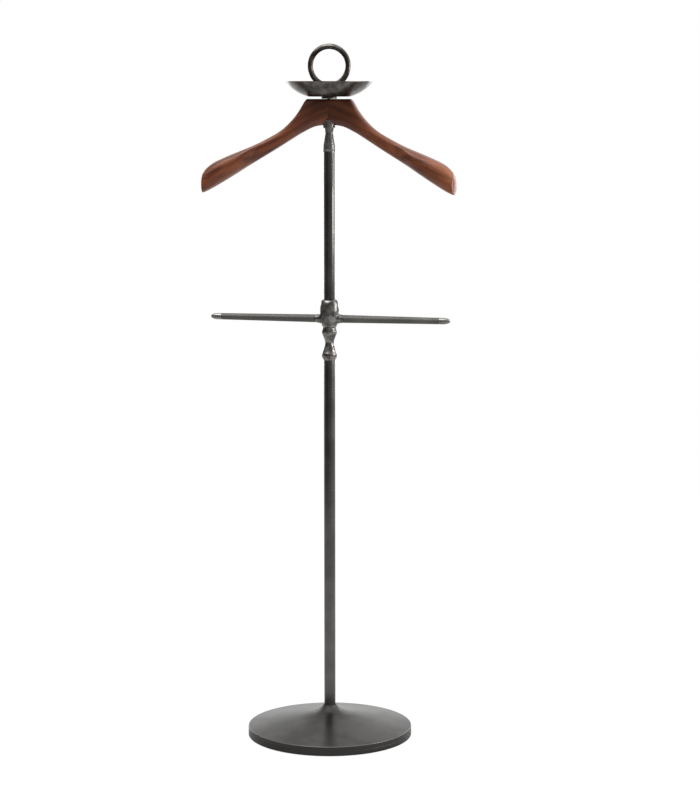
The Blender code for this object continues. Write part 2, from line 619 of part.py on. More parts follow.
def make_hanger(axis, timber, birch):
    seat = HANGER_SEAT - HANGER_FOOT
    dowel_height = HANGER_HEIGHT - DOWEL_BELOW_TOP
    bore = rod_outline(BORE_RADIUS, -HANGER_HEIGHT, 2 * HANGER_HEIGHT)
    tools = [
        cutter("stud_bore", spin_outline(bore, SMALL_SEGMENTS), (0, 0, HANGER_FOOT)),
        cutter("collar_bore", spin_outline(rod_outline(COLLAR_RADIUS + GAP, -seat, seat), TURNED_SEGMENTS),
               (0, 0, HANGER_FOOT)),
    ]
    for offset, word in ((-DOWEL_OFFSET, "front"), (DOWEL_OFFSET, "back")):
        place = (0, offset, HANGER_FOOT + dowel_height)
        half = DOWEL_LENGTH / 2
        hole = across(rod_outline(DOWEL_RADIUS + GAP, -half - GAP, half + GAP))
        tools.append(cutter("dowel_bore_" + word, hole, place))
        dowel = across(rod_outline(DOWEL_RADIUS, -half, half))
        add_object("hanger_dowel_" + word, dowel, birch, axis, place)
    for side, word in ((-1, "left"), (1, "right")):
        arm = add_object("hanger_arm_" + word, arm_mesh(side), timber, axis, (0, 0, HANGER_FOOT))
        for tool in tools:
            cut(arm, tool)


# ---------------------------------------------------------------- tray and ring
def tray_wall(offset):
    """Arc from the tray's flat floor up to its rim, moved in by `offset` towards the hollow."""
    run = TRAY_RADIUS - TRAY_FLAT_RADIUS
    chord = math.hypot(run, TRAY_DEPTH)
    start = math.atan2(TRAY_DEPTH, run) - TRAY_TURN / 2
    bend = chord / (2 * math.sin(TRAY_TURN / 2))
    centre_r = TRAY_FLAT_RADIUS - bend * math.sin(start)
    centre_z = bend * math.cos(start)
    outline = []
    for step in range(TRAY_STEPS + 1):
        angle = start + TRAY_TURN * step / TRAY_STEPS
        radius = centre_r + (bend - offset) * math.sin(angle)
        outline.append((radius, centre_z - (bend - offset) * math.cos(angle)))
    return outline


def make_tray(axis, iron, steel):
    spacer = tube_outline(SPACER_RADIUS, BORE_RADIUS, SPACER_HEIGHT)
    turned_piece("tray_spacer", spacer, TURNED_SEGMENTS, iron, SPACER_FOOT, axis)
    outside = tray_wall(0.0)
    inside = [point for point in tray_wall(TRAY_WALL) if point[1] > TRAY_WALL]
    tray = [(BORE_RADIUS, 0.0), *outside, *reversed(inside), (TRAY_FLAT_RADIUS, TRAY_WALL),
            (BORE_RADIUS, TRAY_WALL)]
    turned_piece("tray", tray, BASE_SEGMENTS, iron, TRAY_FOOT, axis)
    washer = tube_outline(TRAY_WASHER_RADIUS, BORE_RADIUS, TRAY_WASHER_THICKNESS)
    turned_piece("tray_washer", washer, SMALL_SEGMENTS, steel, TRAY_WASHER_FOOT, axis)


def ring_mesh(section_radius):
    """Ring that stands in the XZ plane, centred on its own middle."""
    middle = RING_OUTER_RADIUS - RING_SECTION_RADIUS
    section = [
        (middle + section_radius * math.cos(angle), section_radius * math.sin(angle))
        for angle in (2 * math.pi * step / RING_SECTION_POINTS for step in range(RING_SECTION_POINTS))
    ]
    ring = spin_outline(section, RING_SEGMENTS)
    bmesh.ops.rotate(ring, verts=ring.verts, matrix=Matrix.Rotation(math.pi / 2, 3, "X"))
    return ring


def make_ring(axis, iron):
    centre = (0, 0, RING_CENTRE)
    add_object("ring_handle", ring_mesh(RING_SECTION_RADIUS), iron, axis, centre)
    top = RING_ABOVE_WASHER + STEM_CRADLE
    stem = [
        (0.0, 0.0), (STEM_FOOT_RADIUS, 0.0), (STEM_FOOT_RADIUS, STEM_FOOT_HEIGHT),
        (between(STEM_FOOT_RADIUS, STEM_TOP_RADIUS, 0.5), STEM_HOLLOW_HEIGHT),
        (STEM_TOP_RADIUS, STEM_NECK_HEIGHT),
        (STEM_TOP_RADIUS, top), (0.0, top),
    ]
    piece = turned_piece("ring_stem", stem, SMALL_SEGMENTS, iron, STEM_FOOT, axis)
    seat = ring_mesh(RING_SECTION_RADIUS + GAP)
    cut(piece, cutter("ring_seat", seat, centre))
    stud_top = RING_BOTTOM - RING_FLOOR - STEM_FOOT
    hole = rod_outline(BORE_RADIUS, -stud_top, stud_top + GAP)
    cut(piece, cutter("stem_bore", spin_outline(hole, SMALL_SEGMENTS), (0, 0, STEM_FOOT)))


def main():
    clear_scene()
    iron = principled("gunmetal", (0.115, 0.110, 0.105), 0.42, 0.9)
    steel = principled("steel", (0.36, 0.35, 0.34), 0.30, 1.0)
    timber = principled("mahogany", (0.19, 0.062, 0.030), 0.35, 0.0)
    birch = principled("birch", (0.62, 0.47, 0.30), 0.6, 0.0)
    nylon = principled("nylon", (0.05, 0.05, 0.05), 0.5, 0.0)
    felt = principled("felt", (0.03, 0.03, 0.03), 0.95, 0.0)
    concrete = principled("concrete", (0.42, 0.41, 0.39), 0.9, 0.0)

    lower_post_foot = make_base(iron, felt, steel, concrete)
    make_post("lower_post", lower_post_foot, LOWER_POST_TOP, iron, steel)
    make_coupling(iron, steel, nylon)
    make_post("upper_post", UPPER_POST_FOOT, UPPER_POST_TOP, iron, steel)
    make_ferrule(steel)

    head_axis = guide("head_swivel_axis", HANGER_SEAT)
    make_head_pivot(head_axis, steel, nylon)
    make_hanger(head_axis, timber, birch)
    make_tray(head_axis, iron, steel)
    make_ring(head_axis, iron)


main()
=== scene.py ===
"""Finished look of the valet stand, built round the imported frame.

Metres, +Z up, the front is -Y. What shows is made again from its outline, finer than in the frame, and
rides the same body as the solid it stands for. What is hidden inside keeps its solid and gets a finish.
"""

import math

import bmesh
import bpy
import numpy
from mathutils import Matrix, Vector, noise


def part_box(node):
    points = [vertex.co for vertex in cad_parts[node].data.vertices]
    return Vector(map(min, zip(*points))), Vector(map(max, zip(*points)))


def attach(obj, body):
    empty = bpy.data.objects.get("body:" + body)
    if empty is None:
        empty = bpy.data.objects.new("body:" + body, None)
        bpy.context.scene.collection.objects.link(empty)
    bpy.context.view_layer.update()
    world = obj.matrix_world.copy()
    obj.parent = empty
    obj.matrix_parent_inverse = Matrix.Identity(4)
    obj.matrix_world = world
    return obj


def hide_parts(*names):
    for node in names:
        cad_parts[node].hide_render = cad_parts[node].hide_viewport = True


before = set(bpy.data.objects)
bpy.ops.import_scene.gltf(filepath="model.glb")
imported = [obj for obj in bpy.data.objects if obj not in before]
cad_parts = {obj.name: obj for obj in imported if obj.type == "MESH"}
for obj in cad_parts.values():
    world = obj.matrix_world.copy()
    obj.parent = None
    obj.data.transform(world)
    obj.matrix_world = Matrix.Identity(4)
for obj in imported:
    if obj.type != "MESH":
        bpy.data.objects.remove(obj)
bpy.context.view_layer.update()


# ---------------------------------------------------------------- places, read from the frame
def foot(node):
    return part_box(node)[0].z


def head(node):
    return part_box(node)[1].z


def radius_of(node):
    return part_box(node)[1].x


GAP = 0.0003                    # between pieces that touch or turn on each other
TIGHT = 0.0001                  # between pieces that are pressed, glued or brazed together
CUT_PAST = 0.01                 # a cutter reaches this far past the piece
STUD_BORE = radius_of("hub_stud") + GAP
POST_RADIUS = radius_of("lower_post")
POST_WALL = 0.0015
BASE_RADIUS = radius_of("base_casting")
BASE_RIM_TOP = 0.0172
HUB_FOOT = foot("cross_hub")
HUB_HEIGHT = head("cross_hub") - HUB_FOOT
BAR_Z = (foot("bar_right") + head("bar_right")) / 2
FERRULE_FOOT = foot("neck_ferrule")
FERRULE_HEIGHT = head("neck_ferrule") - FERRULE_FOOT
COLLAR_RADIUS = radius_of("neck_ferrule")
HANGER_HEIGHT = 0.0438
HANGER_TOP = head("hanger_arm_right")
HANGER_FOOT = HANGER_TOP - HANGER_HEIGHT
HANGER_SEAT = head("head_washer") + GAP
HANGER_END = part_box("hanger_arm_right")[1].x
TRAY_FOOT = foot("tray")
RING_RADIUS = radius_of("ring_handle")
RING_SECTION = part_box("ring_handle")[1].y
RING_CENTRE = head("ring_handle") - RING_RADIUS

# ---------------------------------------------------------------- fineness
WIDE_ROUND = 192                # segments of the widest turned pieces
ROUND = 144
SMALL_ROUND = 96
CURVE_STEPS = 8                 # spans between two points of an outline
EASE_STEPS = 5                  # spans round an eased corner
RING_SECTION_ROUND = 40
SHARP = math.radians(38)        # edges that turn more than this are shaded sharp
ON_AXIS = 1e-7                  # a smaller radius is a point on the axis


# ================================================================ shapes
def smoothstep(low, high, value):
    t = min(max((value - low) / (high - low), 0.0), 1.0)
    return t * t * (3 - 2 * t)


def between(start, end, share):
    return start + (end - start) * share


def flowing(points, steps=CURVE_STEPS):
    """Catmull-Rom curve through the points."""
    first = tuple(2 * a - b for a, b in zip(points[0], points[1]))
    last = tuple(2 * a - b for a, b in zip(points[-1], points[-2]))
    run = [first, *points, last]
    curve = []
    for p0, p1, p2, p3 in zip(run, run[1:], run[2:], run[3:]):
        for step in range(steps):
            t = step / steps
            weights = (
                -0.5 * t + t ** 2 - 0.5 * t ** 3,
                1 - 2.5 * t ** 2 + 1.5 * t ** 3,
                0.5 * t + 2 * t ** 2 - 1.5 * t ** 3,
                -0.5 * t ** 2 + 0.5 * t ** 3,
            )
            curve.append(tuple(sum(w * p[i] for w, p in zip(weights, (p0, p1, p2, p3))) for i in (0, 1)))
    return [*curve, tuple(points[-1])]


def eased(corners):
    """Closed outline from (radius, height, easing) corners; an easing of 0 leaves the corner as it is."""
    outline = []
    for before, corner, after in zip(corners[-1:] + corners, corners, corners[1:] + corners[:1]):
        here = Vector(corner[:2])
        ease = corner[2]
        if ease == 0:
            outline.append(tuple(here))
            continue
        start = here + (Vector(before[:2]) - here).normalized() * ease
        end = here + (Vector(after[:2]) - here).normalized() * ease
        for step in range(EASE_STEPS + 1):
            t = step / EASE_STEPS
            outline.append(tuple(start * (1 - t) ** 2 + here * 2 * t * (1 - t) + end * t ** 2))
    return outline


def plain(points):
    """Points of a curve as corners without easing."""
    return [(radius, height, 0) for radius, height in points]


def joined_rings(rows, count):
    """Faces between rings of `count` points that lie one after another."""
    faces = []
    for row in range(rows - 1):
        for step in range(count):
            here, beside = row * count + step, row * count + (step + 1) % count
            faces.append((here, beside, beside + count, here + count))
    return faces


def mesh_of(verts, faces):
    mesh = bmesh.new()
    made = [mesh.verts.new(place) for place in verts]
    for corners in faces:
        mesh.faces.new([made[index] for index in corners])
    bmesh.ops.recalc_face_normals(mesh, faces=mesh.faces)
    return mesh


def turned(outline, segments=SMALL_ROUND, lift=0.0):
    """Closed outline of (radius, height) points turned round the Z axis."""
    verts, rows = [], []
    for radius, height in outline:
        if radius < ON_AXIS:
            rows.append([len(verts)] * segments)
            verts.append((0, 0, height + lift))
            continue
        rows.append(range(len(verts), len(verts) + segments))
        for step in range(segments):
            angle = 2 * math.pi * step / segments
            verts.append((radius * math.cos(angle), radius * math.sin(angle), height + lift))
    faces = []
    for row, after in zip(rows, rows[1:] + rows[:1]):
        for step in range(segments):
            beside = (step + 1) % segments
            corners = list(dict.fromkeys((row[step], row[beside], after[beside], after[step])))
            if len(corners) > 2:
                faces.append(corners)
    return mesh_of(verts, faces)


def across(outline, side, height=BAR_Z, depth=0.0):
    """Outline turned round the X axis; its heights become distances from the post's axis."""
    mesh = turned(outline, SMALL_ROUND)
    turn = Matrix.Translation((0, depth, height)) @ Matrix.Rotation(side * math.pi / 2, 4, "Y")
    bmesh.ops.transform(mesh, matrix=turn, verts=mesh.verts)
    return mesh


def upright_ring(section):
    """Ring handle's shape, for a section of the given radius."""
    middle = RING_RADIUS - RING_SECTION
    angles = [2 * math.pi * step / RING_SECTION_ROUND for step in range(RING_SECTION_ROUND)]
    mesh = turned([(middle + section * math.cos(a), section * math.sin(a)) for a in angles], ROUND)
    turn = Matrix.Translation((0, 0, RING_CENTRE)) @ Matrix.Rotation(math.pi / 2, 4, "X")
    bmesh.ops.transform(mesh, matrix=turn, verts=mesh.verts)
    return mesh


def rod(radius, low, high):
    """Outline of a solid rod between two heights."""
    return [(0.0, low), (radius, low), (radius, high), (0.0, high)]


def sleeve(outer, inner, height, ease):
    """Outline of a tube or disc with a bore, its outer edges eased."""
    return eased([(inner, 0, 0), (outer, 0, ease), (outer, height, ease), (inner, height, 0)])


def carved(mesh, *tools):
    """The mesh with the tools' shapes cut out of it."""
    body = bare_object("work", mesh)
    cutters = [bare_object("tool", tool) for tool in tools]
    for tool in cutters:
        cut = body.modifiers.new("cut", "BOOLEAN")
        cut.operation = "DIFFERENCE"
        cut.solver = "EXACT"
        cut.object = tool
    result = bmesh.new()
    result.from_object(body, bpy.context.evaluated_depsgraph_get())
    for spare in (body, *cutters):
        bpy.data.objects.remove(spare, do_unlink=True)
    return result


def bare_object(name, mesh):
    data = bpy.data.meshes.new(name)
    mesh.to_mesh(data)
    mesh.free()
    made = bpy.data.objects.new(name, data)
    bpy.context.scene.collection.objects.link(made)
    return made


def add(name, mesh, body, node, finish):
    """Put a piece in the scene, on its body, in the place of the frame's node."""
    piece = bare_object(name, mesh)
    piece.data.shade_smooth()
    piece.data.set_sharp_from_angle(angle=SHARP)
    piece.data.materials.append(finish)
    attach(piece, body)
    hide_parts(node)
    return piece


# ================================================================ shader maths
class Link:
    """Output of a shader node; arithmetic on it adds Math nodes."""

    def __init__(self, graph, socket):
        self.graph = graph
        self.socket = socket

    def __add__(self, other):
        return self.graph.sum("ADD", self, other)

    def __sub__(self, other):
        return self.graph.sum("SUBTRACT", self, other)

    def __rsub__(self, other):
        return self.graph.sum("SUBTRACT", other, self)

    def __mul__(self, other):
        return self.graph.sum("MULTIPLY", self, other)

    __radd__ = __add__
    __rmul__ = __mul__


class Graph:
    """Node tree of a material or of the world."""

    def __init__(self, tree):
        self.tree = tree

    def feed(self, socket, value):
        if isinstance(value, Link):
            self.tree.links.new(value.socket, socket)
        else:
            socket.default_value = value

    def node(self, kind, settings, sockets, output=0):
        """Add a node: its settings first, then the values or links of its sockets."""
        made = self.tree.nodes.new("ShaderNode" + kind)
        for name, value in settings.items():
            setattr(made, name, value)
        for name, value in sockets.items():
            self.feed(made.inputs[name], value)
        return Link(self, made.outputs[output])

    def sum(self, operation, first, second):
        return self.node("Math", {"operation": operation}, {0: first, 1: second})

    def mix(self, share, first, second):
        """Colour that goes from first to second."""
        return self.node("Mix", {"data_type": "RGBA"}, {0: share, 6: rgba(first), 7: rgba(second)}, 2)

    def vector(self, operation, first, second, output=0):
        return self.node("VectorMath", {"operation": operation}, {0: first, 1: second}, output)

    def rise(self, value, low, high):
        """0 below low, 1 above high, with a soft change between them."""
        settings = {"interpolation_type": "SMOOTHSTEP"}
        return self.node("MapRange", settings, {"Value": value, "From Min": low, "From Max": high})


def rgba(colour):
    return (*colour, 1.0) if isinstance(colour, tuple) else colour


class Finish(Graph):
    """Material with a Principled shader; what doesn't change over the surface is set on the shader."""

    def __init__(self, name, **constants):
        self.material = bpy.data.materials.new(name)
        self.material.use_nodes = True
        super().__init__(self.material.node_tree)
        self.shader = self.tree.nodes["Principled BSDF"]
        for socket, value in constants.items():
            self.shader.inputs[socket.replace("_", " ")].default_value = value
        self.place = self.node("TexCoord", {}, {}, "Object")

    def cloud(self, scale, detail=4, stretch=(1, 1, 1), place=None):
        """Noise from 0 to 1 with `scale` lumps to the metre, which `stretch` packs closer on some axes."""
        where = self.vector("MULTIPLY", place or self.place, stretch)
        return self.node("TexNoise", {}, {"Vector": where, "Scale": scale, "Detail": detail})

    def height(self):
        return self.node("SeparateXYZ", {}, {0: self.place}, 2)

    def from_axis(self):
        """Distance from the post's axis."""
        flat = self.vector("MULTIPLY", self.place, (1, 1, 0))
        return self.vector("LENGTH", flat, (0, 0, 0), "Value")

    def turning_marks(self, along, scale):
        """Fine marks left by a lathe tool, one after another along the given distance."""
        where = self.node("CombineXYZ", {}, {0: along * scale})
        return self.node("TexNoise", {}, {"Vector": where, "Scale": 1.0, "Detail": 3})

    def show(self, colour, roughness, bump, depth, strength):
        self.feed(self.shader.inputs["Base Color"], colour)
        self.feed(self.shader.inputs["Roughness"], roughness)
        sockets = {"Height": bump, "Distance": depth, "Strength": strength}
        self.feed(self.shader.inputs["Normal"], self.node("Bump", {}, sockets))
        return self.material


# ================================================================ finishes
def cast_gunmetal(name, lumps=0.0, disc=False, dark=(0.066, 0.063, 0.060), light=(0.108, 0.103, 0.097)):
    """Dark plated casting: patina clouds, faint turning marks, fine sand; `lumps` is how uneven it was cast.

    The base disc also has a side darkened with painted shade, a worn, lighter line along its top edge that is
    also a painted highlight, and a duller neck.
    """
    finish = Finish(name, Metallic=1.0)
    patina = finish.cloud(110 if lumps else 17, 5)
    grit = finish.cloud(900, 3)
    blobs = finish.cloud(230, 2)
    marks = finish.turning_marks(finish.from_axis(), 1400)
    cover = finish.rise(patina, 0.36, 0.66)
    colour = finish.mix(cover, dark, light)
    colour = finish.mix(finish.rise(grit, 0.60, 0.80) * 0.5, colour, (0.060, 0.056, 0.052))
    if disc:
        outer = finish.from_axis()
        # Painted shade: the rim's vertical side, below its top, is coloured darker, as it looks under the
        # studio's light.
        side = finish.rise(outer, BASE_RADIUS - 0.0008, BASE_RADIUS - 0.0002)
        # The lighter line along the rim's top edge is partly wear and partly a painted highlight of light
        # catching that edge.
        edge = finish.rise(outer + patina * 0.0006, BASE_RADIUS - 0.0018, BASE_RADIUS - 0.0008)
        colour = finish.mix(edge * 0.4, colour, (0.17, 0.163, 0.153))
        low = 1 - finish.rise(finish.height(), BASE_RIM_TOP - 0.0012, BASE_RIM_TOP - 0.0004)
        colour = finish.mix(side * low, colour, (0.050, 0.047, 0.045))
    roughness = 0.24 + patina * 0.12 - cover * 0.04 + marks * 0.03
    if disc:
        neck = 1 - finish.rise(outer, 0.014, 0.032)
        roughness = roughness + neck * 0.22 + edge * 0.12
    bump = grit * 0.00002 + marks * 0.00003 + blobs * (lumps * 0.00065)
    return finish.show(colour, roughness, bump, 1.0, 0.6)


def tube_gunmetal(name, along, dullness, dark=(0.088, 0.084, 0.080), light=(0.128, 0.122, 0.115)):
    """Drawn tube: long faint streaks and darker smudges; `along` is how little they change on each axis."""
    finish = Finish(name, Metallic=1.0)
    streaks = finish.cloud(60, 4, along)
    smudges = finish.cloud(22, 5)
    colour = finish.mix(finish.rise(smudges, 0.35, 0.70), dark, light)
    colour = finish.mix(finish.rise(streaks, 0.52, 0.78) * 0.45, colour, (0.175, 0.168, 0.158))
    roughness = dullness + smudges * 0.10 + streaks * 0.04
    return finish.show(colour, roughness, streaks, 0.00004, 0.4)


def dish_gunmetal(name):
    """Spun dish and ring: satin, cloudy, with fine rings round the axis."""
    finish = Finish(name, Metallic=1.0)
    clouds = finish.cloud(75, 6)
    stains = finish.cloud(42, 3)
    marks = finish.turning_marks(finish.from_axis(), 2200)
    colour = finish.mix(finish.rise(clouds, 0.34, 0.68), (0.060, 0.054, 0.049), (0.150, 0.138, 0.128))
    colour = finish.mix(finish.rise(stains, 0.47, 0.60) * 0.75, colour, (0.036, 0.031, 0.027))
    roughness = 0.20 + clouds * 0.18
    bump = marks * 0.00003 + clouds * 0.00003 + stains * 0.00030
    return finish.show(colour, roughness, bump, 1.0, 0.5)


def bright_gunmetal(name):
    """Polished turned fittings: lighter, with close lathe marks."""
    finish = Finish(name, Metallic=1.0)
    clouds = finish.cloud(70, 4)
    marks = finish.turning_marks(finish.height(), 2600)
    colour = finish.mix(finish.rise(clouds, 0.35, 0.70), (0.165, 0.160, 0.153), (0.270, 0.262, 0.249))
    roughness = 0.20 + clouds * 0.10 + marks * 0.04
    return finish.show(colour, roughness, marks, 0.00003, 0.35)


def plain_steel(name):
    """Bare turned steel, lightly clouded."""
    finish = Finish(name, Metallic=1.0)
    clouds = finish.cloud(120, 5)
    colour = finish.mix(clouds, (0.36, 0.36, 0.35), (0.56, 0.55, 0.53))
    return finish.show(colour, 0.25 + clouds * 0.2, finish.cloud(1500, 3), 0.00003, 0.3)


def mahogany(name, side, pith, shift):
    """Varnished mahogany with the grain along the arm, and a painted shadow of the tray darkening its middle;
    `pith` is where the trunk's middle lay.
    """
    finish = Finish(name, Coat_Roughness=0.27, Coat_IOR=1.5, Specular_IOR_Level=0.2)
    lean = {"rotation_type": "Y_AXIS"}
    board = finish.node("VectorRotate", lean, {"Vector": finish.place, "Angle": -side * GRAIN_LEAN})
    board = finish.vector("ADD", board, shift)
    sway = finish.cloud(9, 3, (0.6, 1, 1), board)
    fibre = finish.cloud(150, 6, (0.06, 1, 1), board)
    hair = finish.cloud(1050, 3, (0.020, 1, 1), board)
    from_pith = finish.vector("MULTIPLY", finish.vector("SUBTRACT", board, pith), (0, 1, 1))
    rings = finish.vector("LENGTH", from_pith, (0, 0, 0), "Value") + sway * 0.016 + fibre * 0.0012
    season = finish.sum("SINE", rings * (2 * math.pi / RING_PITCH), 0) * 0.5 + 0.5
    pores = finish.rise(hair, 0.60, 0.72)
    figure = finish.rise(finish.cloud(26, 3, (0.35, 1, 1), board), 0.36, 0.68)
    colour = finish.mix(season, (0.094, 0.0215, 0.0080), (0.170, 0.047, 0.0165))
    colour = finish.mix(figure * 0.6, colour, (0.305, 0.097, 0.037))
    colour = finish.mix(finish.rise(fibre, 0.46, 0.70) * 0.64, colour, (0.042, 0.0105, 0.0048))
    # Painted shadow: the middle of the hanger, under the tray, is coloured darker as if shaded by it.
    painted_tray_shadow = 1 - finish.rise(finish.from_axis(), 0.030, 0.085)
    colour = finish.mix(painted_tray_shadow * 0.42, colour, (0.046, 0.0125, 0.0048))
    colour = finish.mix(pores * 0.55, colour, (0.022, 0.0080, 0.0050))
    finish.feed(finish.shader.inputs["Coat Weight"], 0.40 - pores * 0.22)
    return finish.show(colour, 0.38 + fibre * 0.16, fibre * 0.4 - pores * 0.6, 0.00010, 0.35)


def birch(name):
    """Pale close-grained dowel wood."""
    finish = Finish(name)
    fibre = finish.cloud(400, 5, (0.05, 1, 1))
    colour = finish.mix(fibre, (0.52, 0.38, 0.22), (0.70, 0.56, 0.38))
    return finish.show(colour, 0.55 + fibre * 0.1, fibre, 0.0001, 0.3)


def nylon(name):
    """Black nylon of the friction washers."""
    finish = Finish(name)
    grain = finish.cloud(1300, 3)
    colour = finish.mix(grain, (0.012, 0.012, 0.012), (0.030, 0.030, 0.031))
    return finish.show(colour, 0.42 + grain * 0.15, grain, 0.00004, 0.4)


def felt(name):
    """Pressed felt: matted fibres that cross each other, with paler flecks."""
    finish = Finish(name, Sheen_Weight=0.35, Sheen_Roughness=0.5)
    one_way = finish.cloud(900, 5, (0.15, 1, 1))
    other_way = finish.cloud(900, 5, (1, 0.15, 1))
    mat = one_way * 0.5 + other_way * 0.5
    colour = finish.mix(finish.rise(mat, 0.35, 0.65), (0.014, 0.014, 0.015), (0.050, 0.049, 0.050))
    colour = finish.mix(finish.rise(finish.cloud(1600, 2), 0.70, 0.80) * 0.5, colour, (0.13, 0.13, 0.13))
    return finish.show(colour, 0.88 + mat * 0.1, mat, 0.0004, 0.8)


def concrete(name):
    """Rough grey weight inside the base."""
    finish = Finish(name)
    sand = finish.cloud(700, 6)
    colour = finish.mix(sand, (0.26, 0.25, 0.24), (0.48, 0.46, 0.43))
    return finish.show(colour, 0.85 + sand * 0.1, sand, 0.0003, 0.6)


# ================================================================ base
BASE_SLOPE = 0.17               # rise of the top for each metre towards the post
FLARE_RISE = 0.0170             # extra rise of the trumpet at the post
FLARE_POWER = 1.12
BASE_WALL = 0.005
BASE_SHELF = 0.0083             # the hollow's flat ceiling lies this far above the weight's foot
BASE_LEDGE_WIDTH = 0.010
BOSS_RADIUS = 0.028             # of the thick middle under the post
SOCKET_RADIUS = POST_RADIUS + GAP
SOCKET_WALL = 0.0008            # round the post's end, in the base and in the ferrule
SOCKET_MOUTH = SOCKET_RADIUS + SOCKET_WALL
SOCKET_LIP = 0.0003             # width of the eased lip round the post
TOP_STATIONS = 70
TOP_END = 0.0012                # the top's last station lies this far inside the rim
RIM_CORNER = 0.0009             # and the rim's rounded corner ends this far inside it
TURNED_STEP_RADIUS = 0.0240     # where the trumpet was turned down to, a faint step
TURNED_STEP = 0.00022
TURNED_STEP_SPREAD = 0.0006
TURNED_FADE_RADIUS = 0.075      # the step has run out here
RIM_LINE_HEIGHT = BASE_RIM_TOP * 0.52
RIM_LINE_DEPTH = 0.00025        # fine scored line round the rim
RIM_LINE_HALF_WIDTH = 0.0005
RIM_EASE = 0.0006


def base_top(radius):
    """Height of the base's top at a distance from the axis."""
    cone = BASE_SLOPE * (BASE_RADIUS - radius)
    flare = (POST_RADIUS / radius) ** FLARE_POWER - (POST_RADIUS / BASE_RADIUS) ** FLARE_POWER
    turned_down = smoothstep(
        TURNED_STEP_RADIUS - TURNED_STEP_SPREAD, TURNED_STEP_RADIUS + TURNED_STEP_SPREAD, radius,
    )
    fade = 1 - smoothstep(TURNED_STEP_RADIUS, TURNED_FADE_RADIUS, radius)
    return BASE_RIM_TOP + cone + FLARE_RISE * flare + TURNED_STEP * (turned_down - 1) * fade


def make_base(finish):
    """Dished casting, hollow below, with a socket for the post and a scored line round its rim."""
    rim_foot = foot("base_casting")
    ledge = radius_of("felt_pad") + 2 * GAP
    inner_ledge = ledge - BASE_LEDGE_WIDTH
    shelf = foot("base_weight") + BASE_SHELF
    socket_floor = foot("lower_post") - GAP
    mouth_height = base_top(SOCKET_MOUTH)
    lip = SOCKET_MOUTH + SOCKET_LIP
    corner = BASE_RADIUS - RIM_CORNER
    line_foot = RIM_LINE_HEIGHT - RIM_LINE_HALF_WIDTH
    line_top = RIM_LINE_HEIGHT + RIM_LINE_HALF_WIDTH
    top = [(r, base_top(r), 0) for r in numpy.geomspace(lip, BASE_RADIUS - TOP_END, TOP_STATIONS)]
    hollow = [(r, base_top(r) - BASE_WALL, 0) for r in numpy.geomspace(BOSS_RADIUS, inner_ledge, 10)]
    outline = eased([
        (STUD_BORE, shelf, 0), (BOSS_RADIUS, shelf, 0), *hollow, (inner_ledge, shelf, 0), (ledge, shelf, 0),
        (ledge, rim_foot, 0), (BASE_RADIUS - 0.0004, rim_foot, 0.0004), (BASE_RADIUS, rim_foot + RIM_EASE, 0),
        (BASE_RADIUS, line_foot, 0.0001), (BASE_RADIUS - RIM_LINE_DEPTH, RIM_LINE_HEIGHT, 0.0001),
        (BASE_RADIUS, line_top, 0.0001), (BASE_RADIUS, BASE_RIM_TOP - 0.0005, RIM_EASE),
        (corner, base_top(corner), 0), *reversed(top),
        (SOCKET_MOUTH - 0.0001, mouth_height, 0.0003), (SOCKET_RADIUS, mouth_height, 0.0002),
        (SOCKET_RADIUS, socket_floor, 0), (STUD_BORE, socket_floor, 0),
    ])
    add("weighted_base", turned(outline, WIDE_ROUND), "root", "base_casting", finish)


FELT_EASE = 0.0004
FELT_CUT = 0.0005               # how far the cut strays inwards
FELT_RAGS = 160                 # and how often, for each metre


def make_felt(finish):
    """Felt disc with a soft edge that was cut by hand."""
    edge = radius_of("felt_pad")
    thick = head("felt_pad")
    circles = [edge * share for share in numpy.linspace(0.0, 0.96, 14)]
    rounded = [(edge - FELT_EASE, 0.0), (edge, thick * 0.35), (edge, thick * 0.65), (edge - FELT_EASE, thick)]
    outline = [(r, 0.0) for r in circles] + rounded + [(r, thick) for r in reversed(circles)]
    mesh = turned(outline, WIDE_ROUND)
    for vert in mesh.verts:
        flat = Vector((vert.co.x, vert.co.y, 0))
        if flat.length > edge * 0.98:
            ragged = 0.5 + 0.5 * noise.noise(vert.co * FELT_RAGS)
            vert.co -= flat.normalized() * FELT_CUT * ragged
    add("felt_disc", mesh, "root", "felt_pad", finish)


# ================================================================ posts and ferrule
TUBE_EASE = 0.0005
FERRULE_SKIRT = 0.0065          # post length held inside the ferrule
FERRULE_FOOT_RADIUS = SOCKET_RADIUS + SOCKET_WALL
FERRULE_WAIST = 0.0073
FERRULE_EASE = 0.0004
COLLAR_HEIGHT = 0.0137
SCORED_LINES = (0.0022, 0.0036)  # heights above the ferrule's foot
SCORED_HALF_WIDTH = 0.0003
SCORED_DEPTH = 0.00015


def make_posts(finish):
    for node in ("lower_post", "upper_post"):
        height = head(node) - foot(node)
        outline = sleeve(POST_RADIUS, POST_RADIUS - POST_WALL, height, TUBE_EASE)
        add(node + "_tube", turned(outline, SMALL_ROUND, foot(node)), "root", node, finish)


